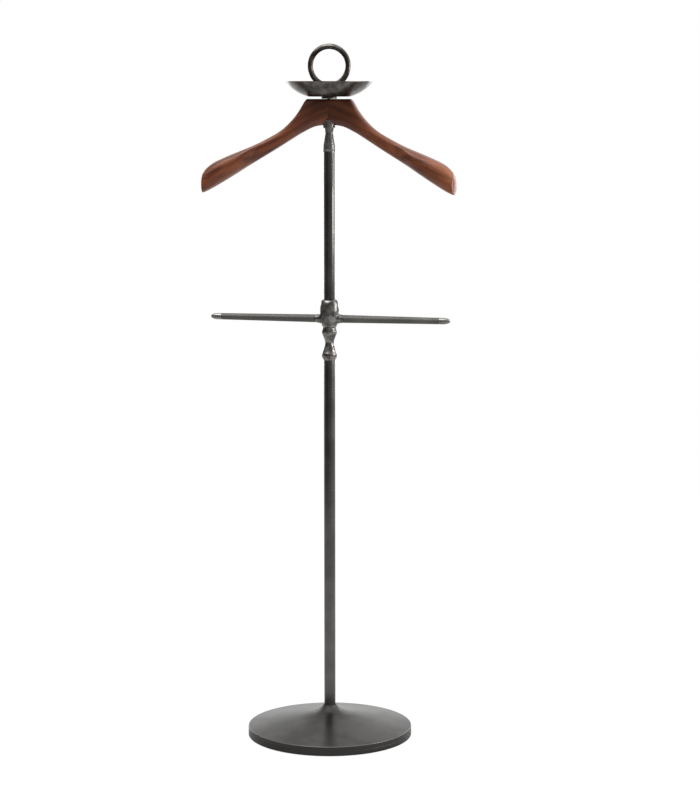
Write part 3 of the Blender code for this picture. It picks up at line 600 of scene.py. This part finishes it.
def make_ferrule(finish):
    """Turned neck between the upper post and the hanger, with two fine scored lines on its foot."""
    height = FERRULE_HEIGHT
    wide, waist = FERRULE_FOOT_RADIUS, FERRULE_WAIST
    side = flowing([
        (wide, 0.10 * height), (0.97 * wide, 0.19 * height), (0.86 * wide, 0.32 * height),
        (1.12 * waist, 0.47 * height), (waist, 0.59 * height), (1.16 * waist, 0.745 * height),
    ])
    scored = []
    for line in SCORED_LINES:
        scored += [(wide, line - SCORED_HALF_WIDTH, 0), (wide - SCORED_DEPTH, line, 0),
                   (wide, line + SCORED_HALF_WIDTH, 0)]
    post_end = FERRULE_SKIRT + GAP
    outline = eased([
        (SOCKET_RADIUS, 0, 0), (wide, 0, 0.0003), *scored, *plain(side),
        (COLLAR_RADIUS, height - COLLAR_HEIGHT, FERRULE_EASE), (COLLAR_RADIUS, height, FERRULE_EASE),
        (STUD_BORE, height, 0), (STUD_BORE, post_end, 0), (SOCKET_RADIUS, post_end, 0),
    ])
    mesh = turned(outline, SMALL_ROUND, FERRULE_FOOT)
    add("turned_neck", mesh, "root", "neck_ferrule", finish)


# ================================================================ coupling and trouser bar
BALL = 0.01365
WAIST = 0.0078
BEAD = 0.0136
COUPLING_NECK = 0.01205         # radius where the baluster meets the hub
HUB_RADIUS = 0.0174
HUB_TOP_RADIUS = 0.0108
HUB_BEYOND = 0.008              # the hub's side is carried on this far past both ends, then cut off
BOSS_FLARE = 0.0086
BOSS_HOLLOW = 0.0025            # how far the boss's flare is pulled in towards the hub
BOSS_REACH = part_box("cross_hub")[1].x
CAST_FILLET = 0.0012            # how softly the bosses run into the hub
HUB_ROWS = 150
HUB_TURNS = 160
HALVINGS = 40
BAR_ROOT = 0.0069
BAR_END = 0.00565
BAR_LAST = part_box("bar_tip_right")[1].x
BAR_STATIONS = 12
SPIGOT = 0.0040
SPIGOT_LENGTH = 0.0160
CAP_LENGTH = 0.0200
CAP_NOSE = 0.0130
CAP_NOSE_STEPS = 14
CAP_SPIGOT = 0.0030
CAP_SPIGOT_LENGTH = 0.0080


def make_baluster(finish):
    """Ball, waist and bead in one turned piece."""
    height = head("baluster") - foot("baluster")
    side = flowing([
        (1.01 * POST_RADIUS, 0.0), (0.95 * BALL, 0.09 * height), (BALL, 0.18 * height),
        (0.86 * BALL, 0.27 * height), (1.19 * WAIST, 0.40 * height), (WAIST, 0.53 * height),
        (1.12 * WAIST, 0.63 * height), (0.81 * BEAD, 0.74 * height), (BEAD, 0.86 * height),
        (0.94 * BEAD, 0.95 * height), (COUPLING_NECK, height),
    ])
    outline = [(STUD_BORE, 0.0), *side, (STUD_BORE, height)]
    mesh = turned(outline, ROUND, foot("baluster"))
    add("turned_baluster", mesh, "root", "baluster", finish)


def hub_radii():
    """Heights above the bar's axis and radii of the hub's side, carried on past both ends."""
    side = flowing([
        (COUPLING_NECK, 0.0), (0.80 * HUB_RADIUS, 0.10 * HUB_HEIGHT), (0.93 * HUB_RADIUS, 0.30 * HUB_HEIGHT),
        (HUB_RADIUS, 0.55 * HUB_HEIGHT), (0.99 * HUB_RADIUS, 0.65 * HUB_HEIGHT),
        (0.90 * HUB_RADIUS, 0.87 * HUB_HEIGHT), (0.80 * HUB_RADIUS, 0.96 * HUB_HEIGHT),
        (HUB_TOP_RADIUS, HUB_HEIGHT),
    ])
    lift = HUB_FOOT - BAR_Z
    heights = [lift - HUB_BEYOND, *(h + lift for r, h in side), lift + HUB_HEIGHT + HUB_BEYOND]
    radii = [COUPLING_NECK / 2, *(r for r, h in side), STUD_BORE]
    return heights, radii


def boss_radii():
    """Distances from the post's axis and radii of a side boss."""
    halfway = (0.5 * (BOSS_FLARE + BAR_ROOT), 0.5 * (HUB_RADIUS + BOSS_REACH) - BOSS_HOLLOW)
    flare = flowing([
        (BOSS_FLARE, 0.5 * HUB_RADIUS), (BOSS_FLARE, 0.86 * HUB_RADIUS), halfway, (BAR_ROOT, BOSS_REACH),
    ])
    return [x for r, x in flare], [r for r, x in flare]


def hub_surface():
    """Rays from the middle of the bar out to where hub and bosses, run together, end."""
    rim = math.atan2(BAR_ROOT, BOSS_REACH)
    end_rows = (rim * 0.5, rim * 0.98)
    open_rows = numpy.linspace(rim, math.pi - rim, HUB_ROWS)
    tilts = [*end_rows, *open_rows, *(math.pi - tilt for tilt in reversed(end_rows))]
    turns = numpy.arange(HUB_TURNS) * 2 * math.pi / HUB_TURNS
    tilt, turn = numpy.meshgrid(tilts, turns, indexing="ij")
    ray = numpy.stack([
        numpy.cos(tilt), numpy.sin(tilt) * numpy.cos(turn), numpy.sin(tilt) * numpy.sin(turn),
    ], -1)
    heights, radii = hub_radii()
    reaches, boss = boss_radii()

    def outside(length):
        x, y, z = (ray * length[..., None]).transpose(2, 0, 1)
        hub = numpy.hypot(x, y) - numpy.interp(z, heights, radii)
        arm = numpy.hypot(y, z) - numpy.interp(abs(x), reaches, boss)
        blend = numpy.clip(0.5 + 0.5 * (arm - hub) / CAST_FILLET, 0, 1)
        joined = arm * (1 - blend) + hub * blend - CAST_FILLET * blend * (1 - blend)
        return numpy.maximum(joined, abs(x) - BOSS_REACH)

    near = numpy.full(tilt.shape, 0.002)
    far = numpy.full(tilt.shape, 0.060)
    for _ in range(HALVINGS):
        middle = (near + far) / 2
        inside = outside(middle) < 0
        near = numpy.where(inside, middle, near)
        far = numpy.where(inside, far, middle)
    return ray * near[..., None]


def make_hub(finish):
    """Egg-shaped hub with its two bosses, trimmed flat above and below, bored for the stud and the bars."""
    surface = hub_surface()
    rows, count = surface.shape[:2]
    verts = [tuple(p) for p in surface.reshape(-1, 3) + numpy.array([0, 0, BAR_Z])]
    faces = joined_rings(rows, count)
    faces.append(tuple(range(count)))
    faces.append(tuple(range((rows - 1) * count, rows * count)))
    mesh = mesh_of(verts, faces)
    for height, way in ((HUB_FOOT, -1), (HUB_FOOT + HUB_HEIGHT, 1)):
        whole = mesh.verts[:] + mesh.edges[:] + mesh.faces[:]
        trimmed = bmesh.ops.bisect_plane(
            mesh, geom=whole, plane_co=(0, 0, height), plane_no=(0, 0, way), clear_outer=True,
        )
        rim = [item for item in trimmed["geom_cut"] if isinstance(item, bmesh.types.BMEdge)]
        bmesh.ops.contextual_create(mesh, geom=rim)
    bore = turned(rod(STUD_BORE, -2 * HUB_HEIGHT, 2 * HUB_HEIGHT), SMALL_ROUND, BAR_Z)
    socket = rod(SPIGOT + GAP, BOSS_REACH - SPIGOT_LENGTH, BOSS_REACH + SPIGOT_LENGTH)
    mesh = carved(mesh, bore, across(socket, 1), across(socket, -1))
    add("bar_hub", mesh, "trouser_bar", "cross_hub", finish)


def make_bars(rod_finish, cap_finish):
    """Tapered halves of the bar, let into the hub's bosses, and their bullet ends."""
    bar_foot = BOSS_REACH + GAP
    cap_foot = BAR_LAST - CAP_LENGTH
    bar_end = cap_foot - GAP
    spigot_foot = BOSS_REACH - SPIGOT_LENGTH + GAP
    taper = [
        (between(BAR_ROOT, BAR_END, share), between(bar_foot, bar_end, share), 0)
        for share in numpy.linspace(0.05, 0.95, BAR_STATIONS)
    ]
    hole_radius = CAP_SPIGOT + GAP
    hole_floor = bar_end - CAP_SPIGOT_LENGTH - GAP
    bar = eased([
        (0, spigot_foot, 0), (SPIGOT, spigot_foot, 0.0004), (SPIGOT, bar_foot, 0),
        (BAR_ROOT, bar_foot, 0.0004), *taper, (BAR_END, bar_end, 0.0003),
        (hole_radius, bar_end, 0), (hole_radius, hole_floor, 0), (0, hole_floor, 0),
    ])
    nose = []
    for step in range(CAP_NOSE_STEPS):
        angle = math.pi / 2 * step / CAP_NOSE_STEPS
        nose.append((BAR_END * math.cos(angle), BAR_LAST - CAP_NOSE * (1 - math.sin(angle)), 0))
    spigot_end = bar_end - CAP_SPIGOT_LENGTH
    cap = eased([
        (0, spigot_end, 0), (CAP_SPIGOT, spigot_end, 0.0003), (CAP_SPIGOT, cap_foot, 0),
        (BAR_END, cap_foot, 0.0003), *nose, (0, BAR_LAST, 0),
    ])
    for side, word in ((-1, "left"), (1, "right")):
        add(word + "_bar_rod", across(bar, side), "trouser_bar", "bar_" + word, rod_finish)
        add(
            word + "_bar_cap", across(cap, side), "trouser_bar", "bar_tip_" + word,
            cap_finish,
        )


# ================================================================ hanger
FLAT_TOP = 0.0385               # half of the flat top
CENTRE_THICKNESS = 0.0230
SHOULDER_THICKNESS = 0.0450
TIP_THICKNESS = 0.0189
FORWARD_CURVE = 0.0180          # how far the tips stand forward of the centre
TIP_DROP = 0.1195               # the tips' lower edge lies this far below the hanger's foot
TIP_TURN = math.radians(7)
# Places along an arm are shares of its length, 0 at the seam in the middle and 1 at the tip.
NECK_SLIMMING = (0.20, 0.40)    # where the neck loses thickness
NECK_THINNING = 0.08            # share of its thickness that it loses
FRONT_SWELL = (0.49, 0.66)      # where the front swells from the neck to the shoulder, in a nose
BACK_SWELL = (0.48, 0.78)
NOSE_SLANT = 0.06               # how much further out the shoulder starts at its lower edge
SHOULDER_END = 0.80             # the tip's rounding starts here
TIP_ROUNDING_POWER = 2.2
TIP_TURN_START = 0.60
SECTION_CHANGE = (0.15, 0.45)   # where the section goes from boxy to rounded
SECTION_MIDDLE = (0.28, 0.55)   # height of the widest place, as a share of the arm's height
SECTION_TOP_POWER = (0.30, 0.75)
SECTION_BOTTOM_POWER = (0.95, 0.75)
TIP_BULGE = 0.0034              # how far the end face stands out
TIP_FULLNESS = 2.5              # 2 rounds the end face evenly; more makes it flatter in the middle
TIP_RINGS = 14
TIP_TOP_EASING = 0.85           # how much less it stands out at its upper corner
ARM_STATIONS = 130
ARM_ROUND = 96
GRAIN_LEAN = math.radians(27)
RING_PITCH = 0.0110             # distance between the wood's year rings


def top_edge():
    """Upper edge of an arm, outwards, measured from the hanger's foot."""
    reach = HANGER_END - FLAT_TOP
    neck = ((0.0, 1.0), (0.024, 0.87), (0.074, 0.52), (0.139, 0.175))
    arm = (
        (0.233, 0.072), (0.347, 0.181), (0.518, 0.313), (0.744, 0.455), (0.884, 0.556), (0.965, 0.660),
        (1.0, 0.765),
    )
    points = [(FLAT_TOP + reach * share, HANGER_HEIGHT * height) for share, height in neck]
    points += [(FLAT_TOP + reach * share, -TIP_DROP * drop) for share, drop in arm]
    return flowing(points)


def lower_edge():
    """Lower edge of an arm, outwards, measured from the hanger's foot."""
    edge = (
        (0.0, 0.0), (0.107, 0.028), (0.200, 0.108), (0.272, 0.188), (0.414, 0.355), (0.601, 0.567),
        (0.788, 0.785), (0.927, 0.937), (1.0, 1.0),
    )
    return flowing([(HANGER_END * share, -TIP_DROP * drop) for share, drop in edge])


def half_thickness(share, front):
    """Thickness in front of or behind the arm's middle line."""
    neck = CENTRE_THICKNESS / 2 * (1 - NECK_THINNING * smoothstep(*NECK_SLIMMING, share))
    rounding = max(0.0, (share - SHOULDER_END) / (1 - SHOULDER_END)) ** TIP_ROUNDING_POWER
    shoulder = between(SHOULDER_THICKNESS / 2, TIP_THICKNESS / 2, rounding)
    return between(neck, shoulder, smoothstep(*(FRONT_SWELL if front else BACK_SWELL), share))


def arm_section(x, top, bottom):
    """Ring of points round the right arm at x: boxy on top at the centre, rounder outside."""
    share = x / HANGER_END
    outward = smoothstep(*SECTION_CHANGE, share)
    middle = between(bottom, top, between(*SECTION_MIDDLE, outward))
    lean = math.sin(TIP_TURN * smoothstep(TIP_TURN_START, 1.0, share))
    ring = []
    for step in range(ARM_ROUND):
        angle = 2 * math.pi * (step + 0.5) / ARM_ROUND
        sideways, up = math.cos(angle), math.sin(angle)
        power = between(*(SECTION_TOP_POWER if up > 0 else SECTION_BOTTOM_POWER), outward)
        half = half_thickness(share - NOSE_SLANT * (1 - up) / 2, sideways < 0)
        y = half * math.copysign(abs(sideways) ** power, sideways)
        reach = (top - middle) if up > 0 else (middle - bottom)
        z = middle + reach * math.copysign(abs(up) ** power, up)
        ring.append(Vector((x - (TIP_THICKNESS / 2 - y) * lean, y - FORWARD_CURVE * share ** 2, z)))
    return ring


def arm_rings():
    """Rings from the seam in the middle out to the eased end face."""
    upper, lower = top_edge(), lower_edge()
    end = HANGER_END - TIP_BULGE
    rings = []
    for step in range(ARM_STATIONS):
        x = between(TIGHT / 2, end, step / (ARM_STATIONS - 1))
        top = HANGER_HEIGHT if x <= FLAT_TOP else float(numpy.interp(x, *zip(*upper)))
        rings.append(arm_section(x, top, float(numpy.interp(x, *zip(*lower)))))
    last = rings[-1]
    centre = sum(last, Vector()) / len(last)
    rise = max(p.z for p in last) - centre.z
    for step in range(1, TIP_RINGS + 1):
        turn = math.pi / 2 * step / (TIP_RINGS + 1)
        bulge = TIP_BULGE * math.sin(turn) ** (2 / TIP_FULLNESS)
        ring = [centre + (p - centre) * math.cos(turn) ** (2 / TIP_FULLNESS) for p in last]
        for point in ring:
            upward = max(0.0, (point.z - centre.z) / rise)
            point.x += bulge * (1 - TIP_TOP_EASING * upward ** 2)
        rings.append(ring)
    return rings, centre + Vector((TIP_BULGE, 0, 0))


def arm_mesh(side):
    """Whole arm on its side of the seam, before it is bored."""
    rings, tip = arm_rings()
    verts = [(side * p.x, p.y, p.z + HANGER_FOOT) for ring in rings for p in ring]
    verts.append((side * tip.x, tip.y, tip.z + HANGER_FOOT))
    faces = [tuple(range(ARM_ROUND)), *joined_rings(len(rings), ARM_ROUND)]
    last = (len(rings) - 1) * ARM_ROUND
    for step in range(ARM_ROUND):
        faces.append((last + step, last + (step + 1) % ARM_ROUND, len(verts) - 1))
    return mesh_of(verts, faces)


def make_hanger(finishes):
    """Two halves, doweled together, let in below for the collar and bored for the stud."""
    for side, word in ((-1, "left"), (1, "right")):
        tools = [
            turned(rod(STUD_BORE, -HANGER_HEIGHT, 2 * HANGER_HEIGHT), SMALL_ROUND, HANGER_FOOT),
            turned(rod(COLLAR_RADIUS + GAP, -CUT_PAST, HANGER_SEAT - HANGER_FOOT), SMALL_ROUND, HANGER_FOOT),
        ]
        for dowel in ("hanger_dowel_front", "hanger_dowel_back"):
            low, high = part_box(dowel)
            middle = (low + high) / 2
            hole = rod(high.z - middle.z + GAP, low.x - GAP, high.x + GAP)
            tools.append(across(hole, 1, middle.z, middle.y))
        mesh = carved(arm_mesh(side), *tools)
        add(word + "_hanger_half", mesh, "head", "hanger_arm_" + word, finishes[side])


# ================================================================ tray and ring
TRAY_RADIUS = radius_of("tray")
TRAY_FLAT = 0.0360              # radius of the flat floor
TRAY_DEPTH = head("tray") - foot("tray")
TRAY_WALL = 0.0020
TRAY_TURN = math.radians(37)    # how far the wall bends between floor and rim
TRAY_STATIONS = 40
LIP_TRIM = 0.012                # share of the wall's arc that the rolled lip takes
LIP_STEPS = 12
LIP_FLATNESS = 0.98
STEM_NECK = 0.0062              # radius of the stem under the ring
STEM_EASE = 0.0004


def tray_arc(offset, trim):
    """Arc of the tray's wall, moved in by `offset`, up to `trim` short of the rim."""
    run = TRAY_RADIUS - TRAY_FLAT
    start = math.atan2(TRAY_DEPTH, run) - TRAY_TURN / 2
    bend = math.hypot(run, TRAY_DEPTH) / (2 * math.sin(TRAY_TURN / 2))
    middle = (TRAY_FLAT - bend * math.sin(start), bend * math.cos(start))
    angles = numpy.linspace(start, start + TRAY_TURN * (1 - trim), TRAY_STATIONS)
    return [(middle[0] + (bend - offset) * math.sin(a), middle[1] - (bend - offset) * math.cos(a))
            for a in angles]


def make_tray(finish):
    """Spun dish with a rolled lip, and the disc that it sits on."""
    outside = tray_arc(0.0, LIP_TRIM)
    inside = [point for point in tray_arc(TRAY_WALL, LIP_TRIM) if point[1] > TRAY_WALL]
    rim = Vector(outside[-1]).lerp(Vector(inside[-1]), 0.5)
    half = (Vector(outside[-1]) - Vector(inside[-1])) / 2
    lip_height = (TRAY_DEPTH - rim.y) * LIP_FLATNESS
    lip = []
    for step in range(1, LIP_STEPS):
        angle = math.pi * step / LIP_STEPS
        place = rim + half * math.cos(angle)
        lip.append((min(place.x, TRAY_RADIUS), min(place.y + lip_height * math.sin(angle), TRAY_DEPTH)))
    outline = [
        (STUD_BORE, 0.0), *outside, *lip, *reversed(inside), (TRAY_FLAT, TRAY_WALL), (STUD_BORE, TRAY_WALL),
    ]
    mesh = turned(outline, WIDE_ROUND, TRAY_FOOT)
    add("dished_tray", mesh, "head", "tray", finish)

    spacer = "tray_spacer"
    disc = sleeve(radius_of(spacer), STUD_BORE, head(spacer) - foot(spacer), 0.0006)
    add("tray_seat_disc", turned(disc, SMALL_ROUND, foot(spacer)), "head", spacer, finish)


def make_ring(ring_finish, stem_finish):
    """Ring, and the flared stem whose top is hollowed to carry it."""
    add("lifting_ring", upright_ring(RING_SECTION), "head", "ring_handle", ring_finish)
    stem_foot = foot("ring_stem")
    foot_radius = radius_of("ring_stem")
    top = head("ring_stem") - stem_foot
    side = flowing([
        (foot_radius, 0.0018), (0.5 * (foot_radius + STEM_NECK), 0.0035), (STEM_NECK, 0.0072),
        (STEM_NECK, 0.70 * top), (STEM_NECK - 0.0002, top - STEM_EASE),
    ])
    outline = eased([
        (0, 0, 0), (foot_radius, 0, 0.0003), *plain(side), (STEM_NECK - 0.0008, top, STEM_EASE), (0, top, 0),
    ])
    bore = turned(rod(STUD_BORE, stem_foot - CUT_PAST, head("head_stud") + GAP))
    mesh = carved(turned(outline, SMALL_ROUND, stem_foot), upright_ring(RING_SECTION + TIGHT), bore)
    add("ring_foot", mesh, "head", "ring_stem", stem_finish)


# ================================================================ what keeps its solid
def dress(finish, *nodes):
    """Give a finish to solids that stay as they are."""
    for node in nodes:
        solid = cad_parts[node]
        solid.data.materials.clear()
        solid.data.materials.append(finish)


# ================================================================ studio
CAMERA_TURN = math.radians(12.3)    # round the stand, from straight in front
CAMERA_DIP = math.radians(7.853747)
CAMERA_BACK = 3.99907
CAMERA_ASIDE = 0.03580
CAMERA_HEIGHT = 1.15279
LENS_LENGTH = 103.74                # in millimetres, as is the sensor
SENSOR_WIDTH = 36
FLOOR_RINGS = (0.0, 0.4, 0.9, 1.6, 2.6)
FLOOR_TOP = -0.0002                 # the sheet lies just under the felt
FLOOR_THICKNESS = 0.02


def aimed(name, data, place, target):
    """Put a light in the scene that looks from its place at its target."""
    made = bpy.data.objects.new(name, data)
    made.location = place
    made.rotation_euler = (Vector(target) - Vector(place)).to_track_quat("-Z", "Y").to_euler()
    bpy.context.scene.collection.objects.link(made)


def make_camera():
    lens = bpy.data.cameras.new("camera")
    lens.lens = LENS_LENGTH
    lens.sensor_width = SENSOR_WIDTH
    lens.clip_start = 0.1
    lens.clip_end = 100
    camera = bpy.data.objects.new("camera", lens)
    sideways = Vector((math.cos(CAMERA_TURN), math.sin(CAMERA_TURN), 0))
    ahead = Vector((-math.sin(CAMERA_TURN), math.cos(CAMERA_TURN), 0))
    camera.location = sideways * CAMERA_ASIDE - ahead * CAMERA_BACK + Vector((0, 0, CAMERA_HEIGHT))
    camera.rotation_euler = (math.pi / 2 - CAMERA_DIP, 0, CAMERA_TURN)
    bpy.context.scene.collection.objects.link(camera)
    bpy.context.scene.camera = camera


def softbox(name, place, target, width, height, glow):
    """Area light whose face is `glow` times as bright as a white wall."""
    light = bpy.data.lights.new(name, "AREA")
    light.shape = "RECTANGLE"
    light.size = width
    light.size_y = height
    light.energy = glow * 4 * width * height
    aimed(name, light, place, target)


def heading(turn, rise=0.0):
    """Direction `turn` degrees to the right of the camera, seen from the stand, and `rise` degrees up."""
    angle = math.radians(turn) + CAMERA_TURN
    up = math.radians(rise)
    return (math.sin(angle) * math.cos(up), -math.cos(angle) * math.cos(up), math.sin(up))


def make_world():
    """White behind the stand; a soft grey room, darker at the front left, lights it."""
    world = bpy.data.worlds.new("studio")
    bpy.context.scene.world = world
    world.use_nodes = True
    graph = Graph(world.node_tree)
    way = graph.node("TexCoord", {}, {}, "Generated")

    def lobe(turn, rise, low, high):
        return graph.rise(graph.vector("DOT_PRODUCT", way, heading(turn, rise), "Value"), low, high)

    glow = 0.30 + lobe(180, -15, 0.45, 1.0) * 0.9 + lobe(95, 10, 0.1, 0.9) * 0.35
    glow = glow + lobe(0, 90, 0.3, 1.0) * 1.2 - lobe(-50, 0, 0.75, 0.99) * 0.17
    sees = graph.node("LightPath", {}, {}, "Is Camera Ray")
    room = graph.node("Background", {}, {"Color": (1, 1, 1, 1), "Strength": glow})
    white = graph.node("Background", {}, {"Color": (1, 1, 1, 1), "Strength": 1.0})
    shown = graph.node("MixShader", {}, {0: sees, 1: room, 2: white})
    graph.feed(world.node_tree.nodes["World Output"].inputs["Surface"], shown)


def make_floor():
    """Pale sheet: nearly shadowless white to look at, a softer grey in the stand's own reflections."""
    upper = [(r, FLOOR_TOP) for r in FLOOR_RINGS]
    lower = [(r, FLOOR_TOP - FLOOR_THICKNESS) for r in reversed(FLOOR_RINGS)]
    floor = bare_object("floor", turned(upper + lower, SMALL_ROUND))
    paper = bpy.data.materials.new("pale_floor")
    paper.use_nodes = True
    graph = Graph(paper.node_tree)
    sees = graph.node("LightPath", {}, {}, "Is Camera Ray")
    sheet = graph.node("BsdfDiffuse", {}, {"Color": (0.5, 0.5, 0.5, 1)})
    glow = graph.node("Emission", {}, {"Color": (1, 1, 1, 1), "Strength": 1.1})
    shown = graph.node("MixShader", {}, {0: sees * 0.82, 1: sheet, 2: glow})
    graph.feed(paper.node_tree.nodes["Material Output"].inputs["Surface"], shown)
    floor.data.materials.append(paper)


def make_lights():
    """Large boxes on the right and overhead, and one at each side behind the stand."""
    softbox("right_softbox", (2.1, 0.1, 1.35), (0, 0, 1.35), 1.1, 1.3, 7.0)
    softbox("top_softbox", (-0.7, -0.8, 3.0), (0, 0, 0.9), 1.9, 1.9, 3.2)
    for name, turn in (("back_left_strip", -150), ("back_right_strip", 150)):
        place = Vector(heading(turn)) * 2.4 + Vector((0, 0, 0.9))
        softbox(name, place, (0, 0, 0.95), 1.0, 1.0, 2.6)


def main():
    make_camera()
    make_world()
    make_floor()
    make_lights()
    cast = cast_gunmetal("cast_gunmetal")
    cast_base = cast_gunmetal("cast_gunmetal_base", 0.0, True, (0.036, 0.034, 0.032), (0.070, 0.067, 0.063))
    uneven = cast_gunmetal("cast_gunmetal_uneven", 1.3, False, (0.075, 0.070, 0.066), (0.245, 0.233, 0.222))
    tube = tube_gunmetal("gunmetal_tube", (12, 12, 0.12), 0.15)
    bar = tube_gunmetal("gunmetal_bar", (0.12, 12, 12), 0.56, (0.118, 0.115, 0.109), (0.168, 0.163, 0.154))
    dish = dish_gunmetal("gunmetal_dish")
    bright = bright_gunmetal("bright_gunmetal")
    steel = plain_steel("plain_steel")
    wood = {
        -1: mahogany("mahogany_left", -1, (0, 0.16, 1.30), (0.3, 0, 0)),
        1: mahogany("mahogany_right", 1, (0, -0.09, 0.92), (0, 0.013, 0.02)),
    }
    make_base(cast_base)
    make_felt(felt("felt"))
    make_posts(tube)
    make_baluster(uneven)
    make_hub(uneven)
    make_bars(bar, bright)
    make_ferrule(bright)
    make_hanger(wood)
    make_tray(dish)
    make_ring(dish, cast)

    plugs = [post + end for post in ("lower_post_", "upper_post_") for end in ("bottom_plug", "top_plug")]
    dress(steel, "base_bolt", "base_washer", "hub_stud", "head_stud", "head_nut", "tray_washer", *plugs)
    dress(nylon("nylon"), "hub_washer_lower", "hub_washer_upper", "head_washer")
    dress(birch("birch"), "hanger_dowel_front", "hanger_dowel_back")
    dress(concrete("concrete"), "base_weight")
    bpy.context.scene.view_settings.view_transform = "Standard"


main()
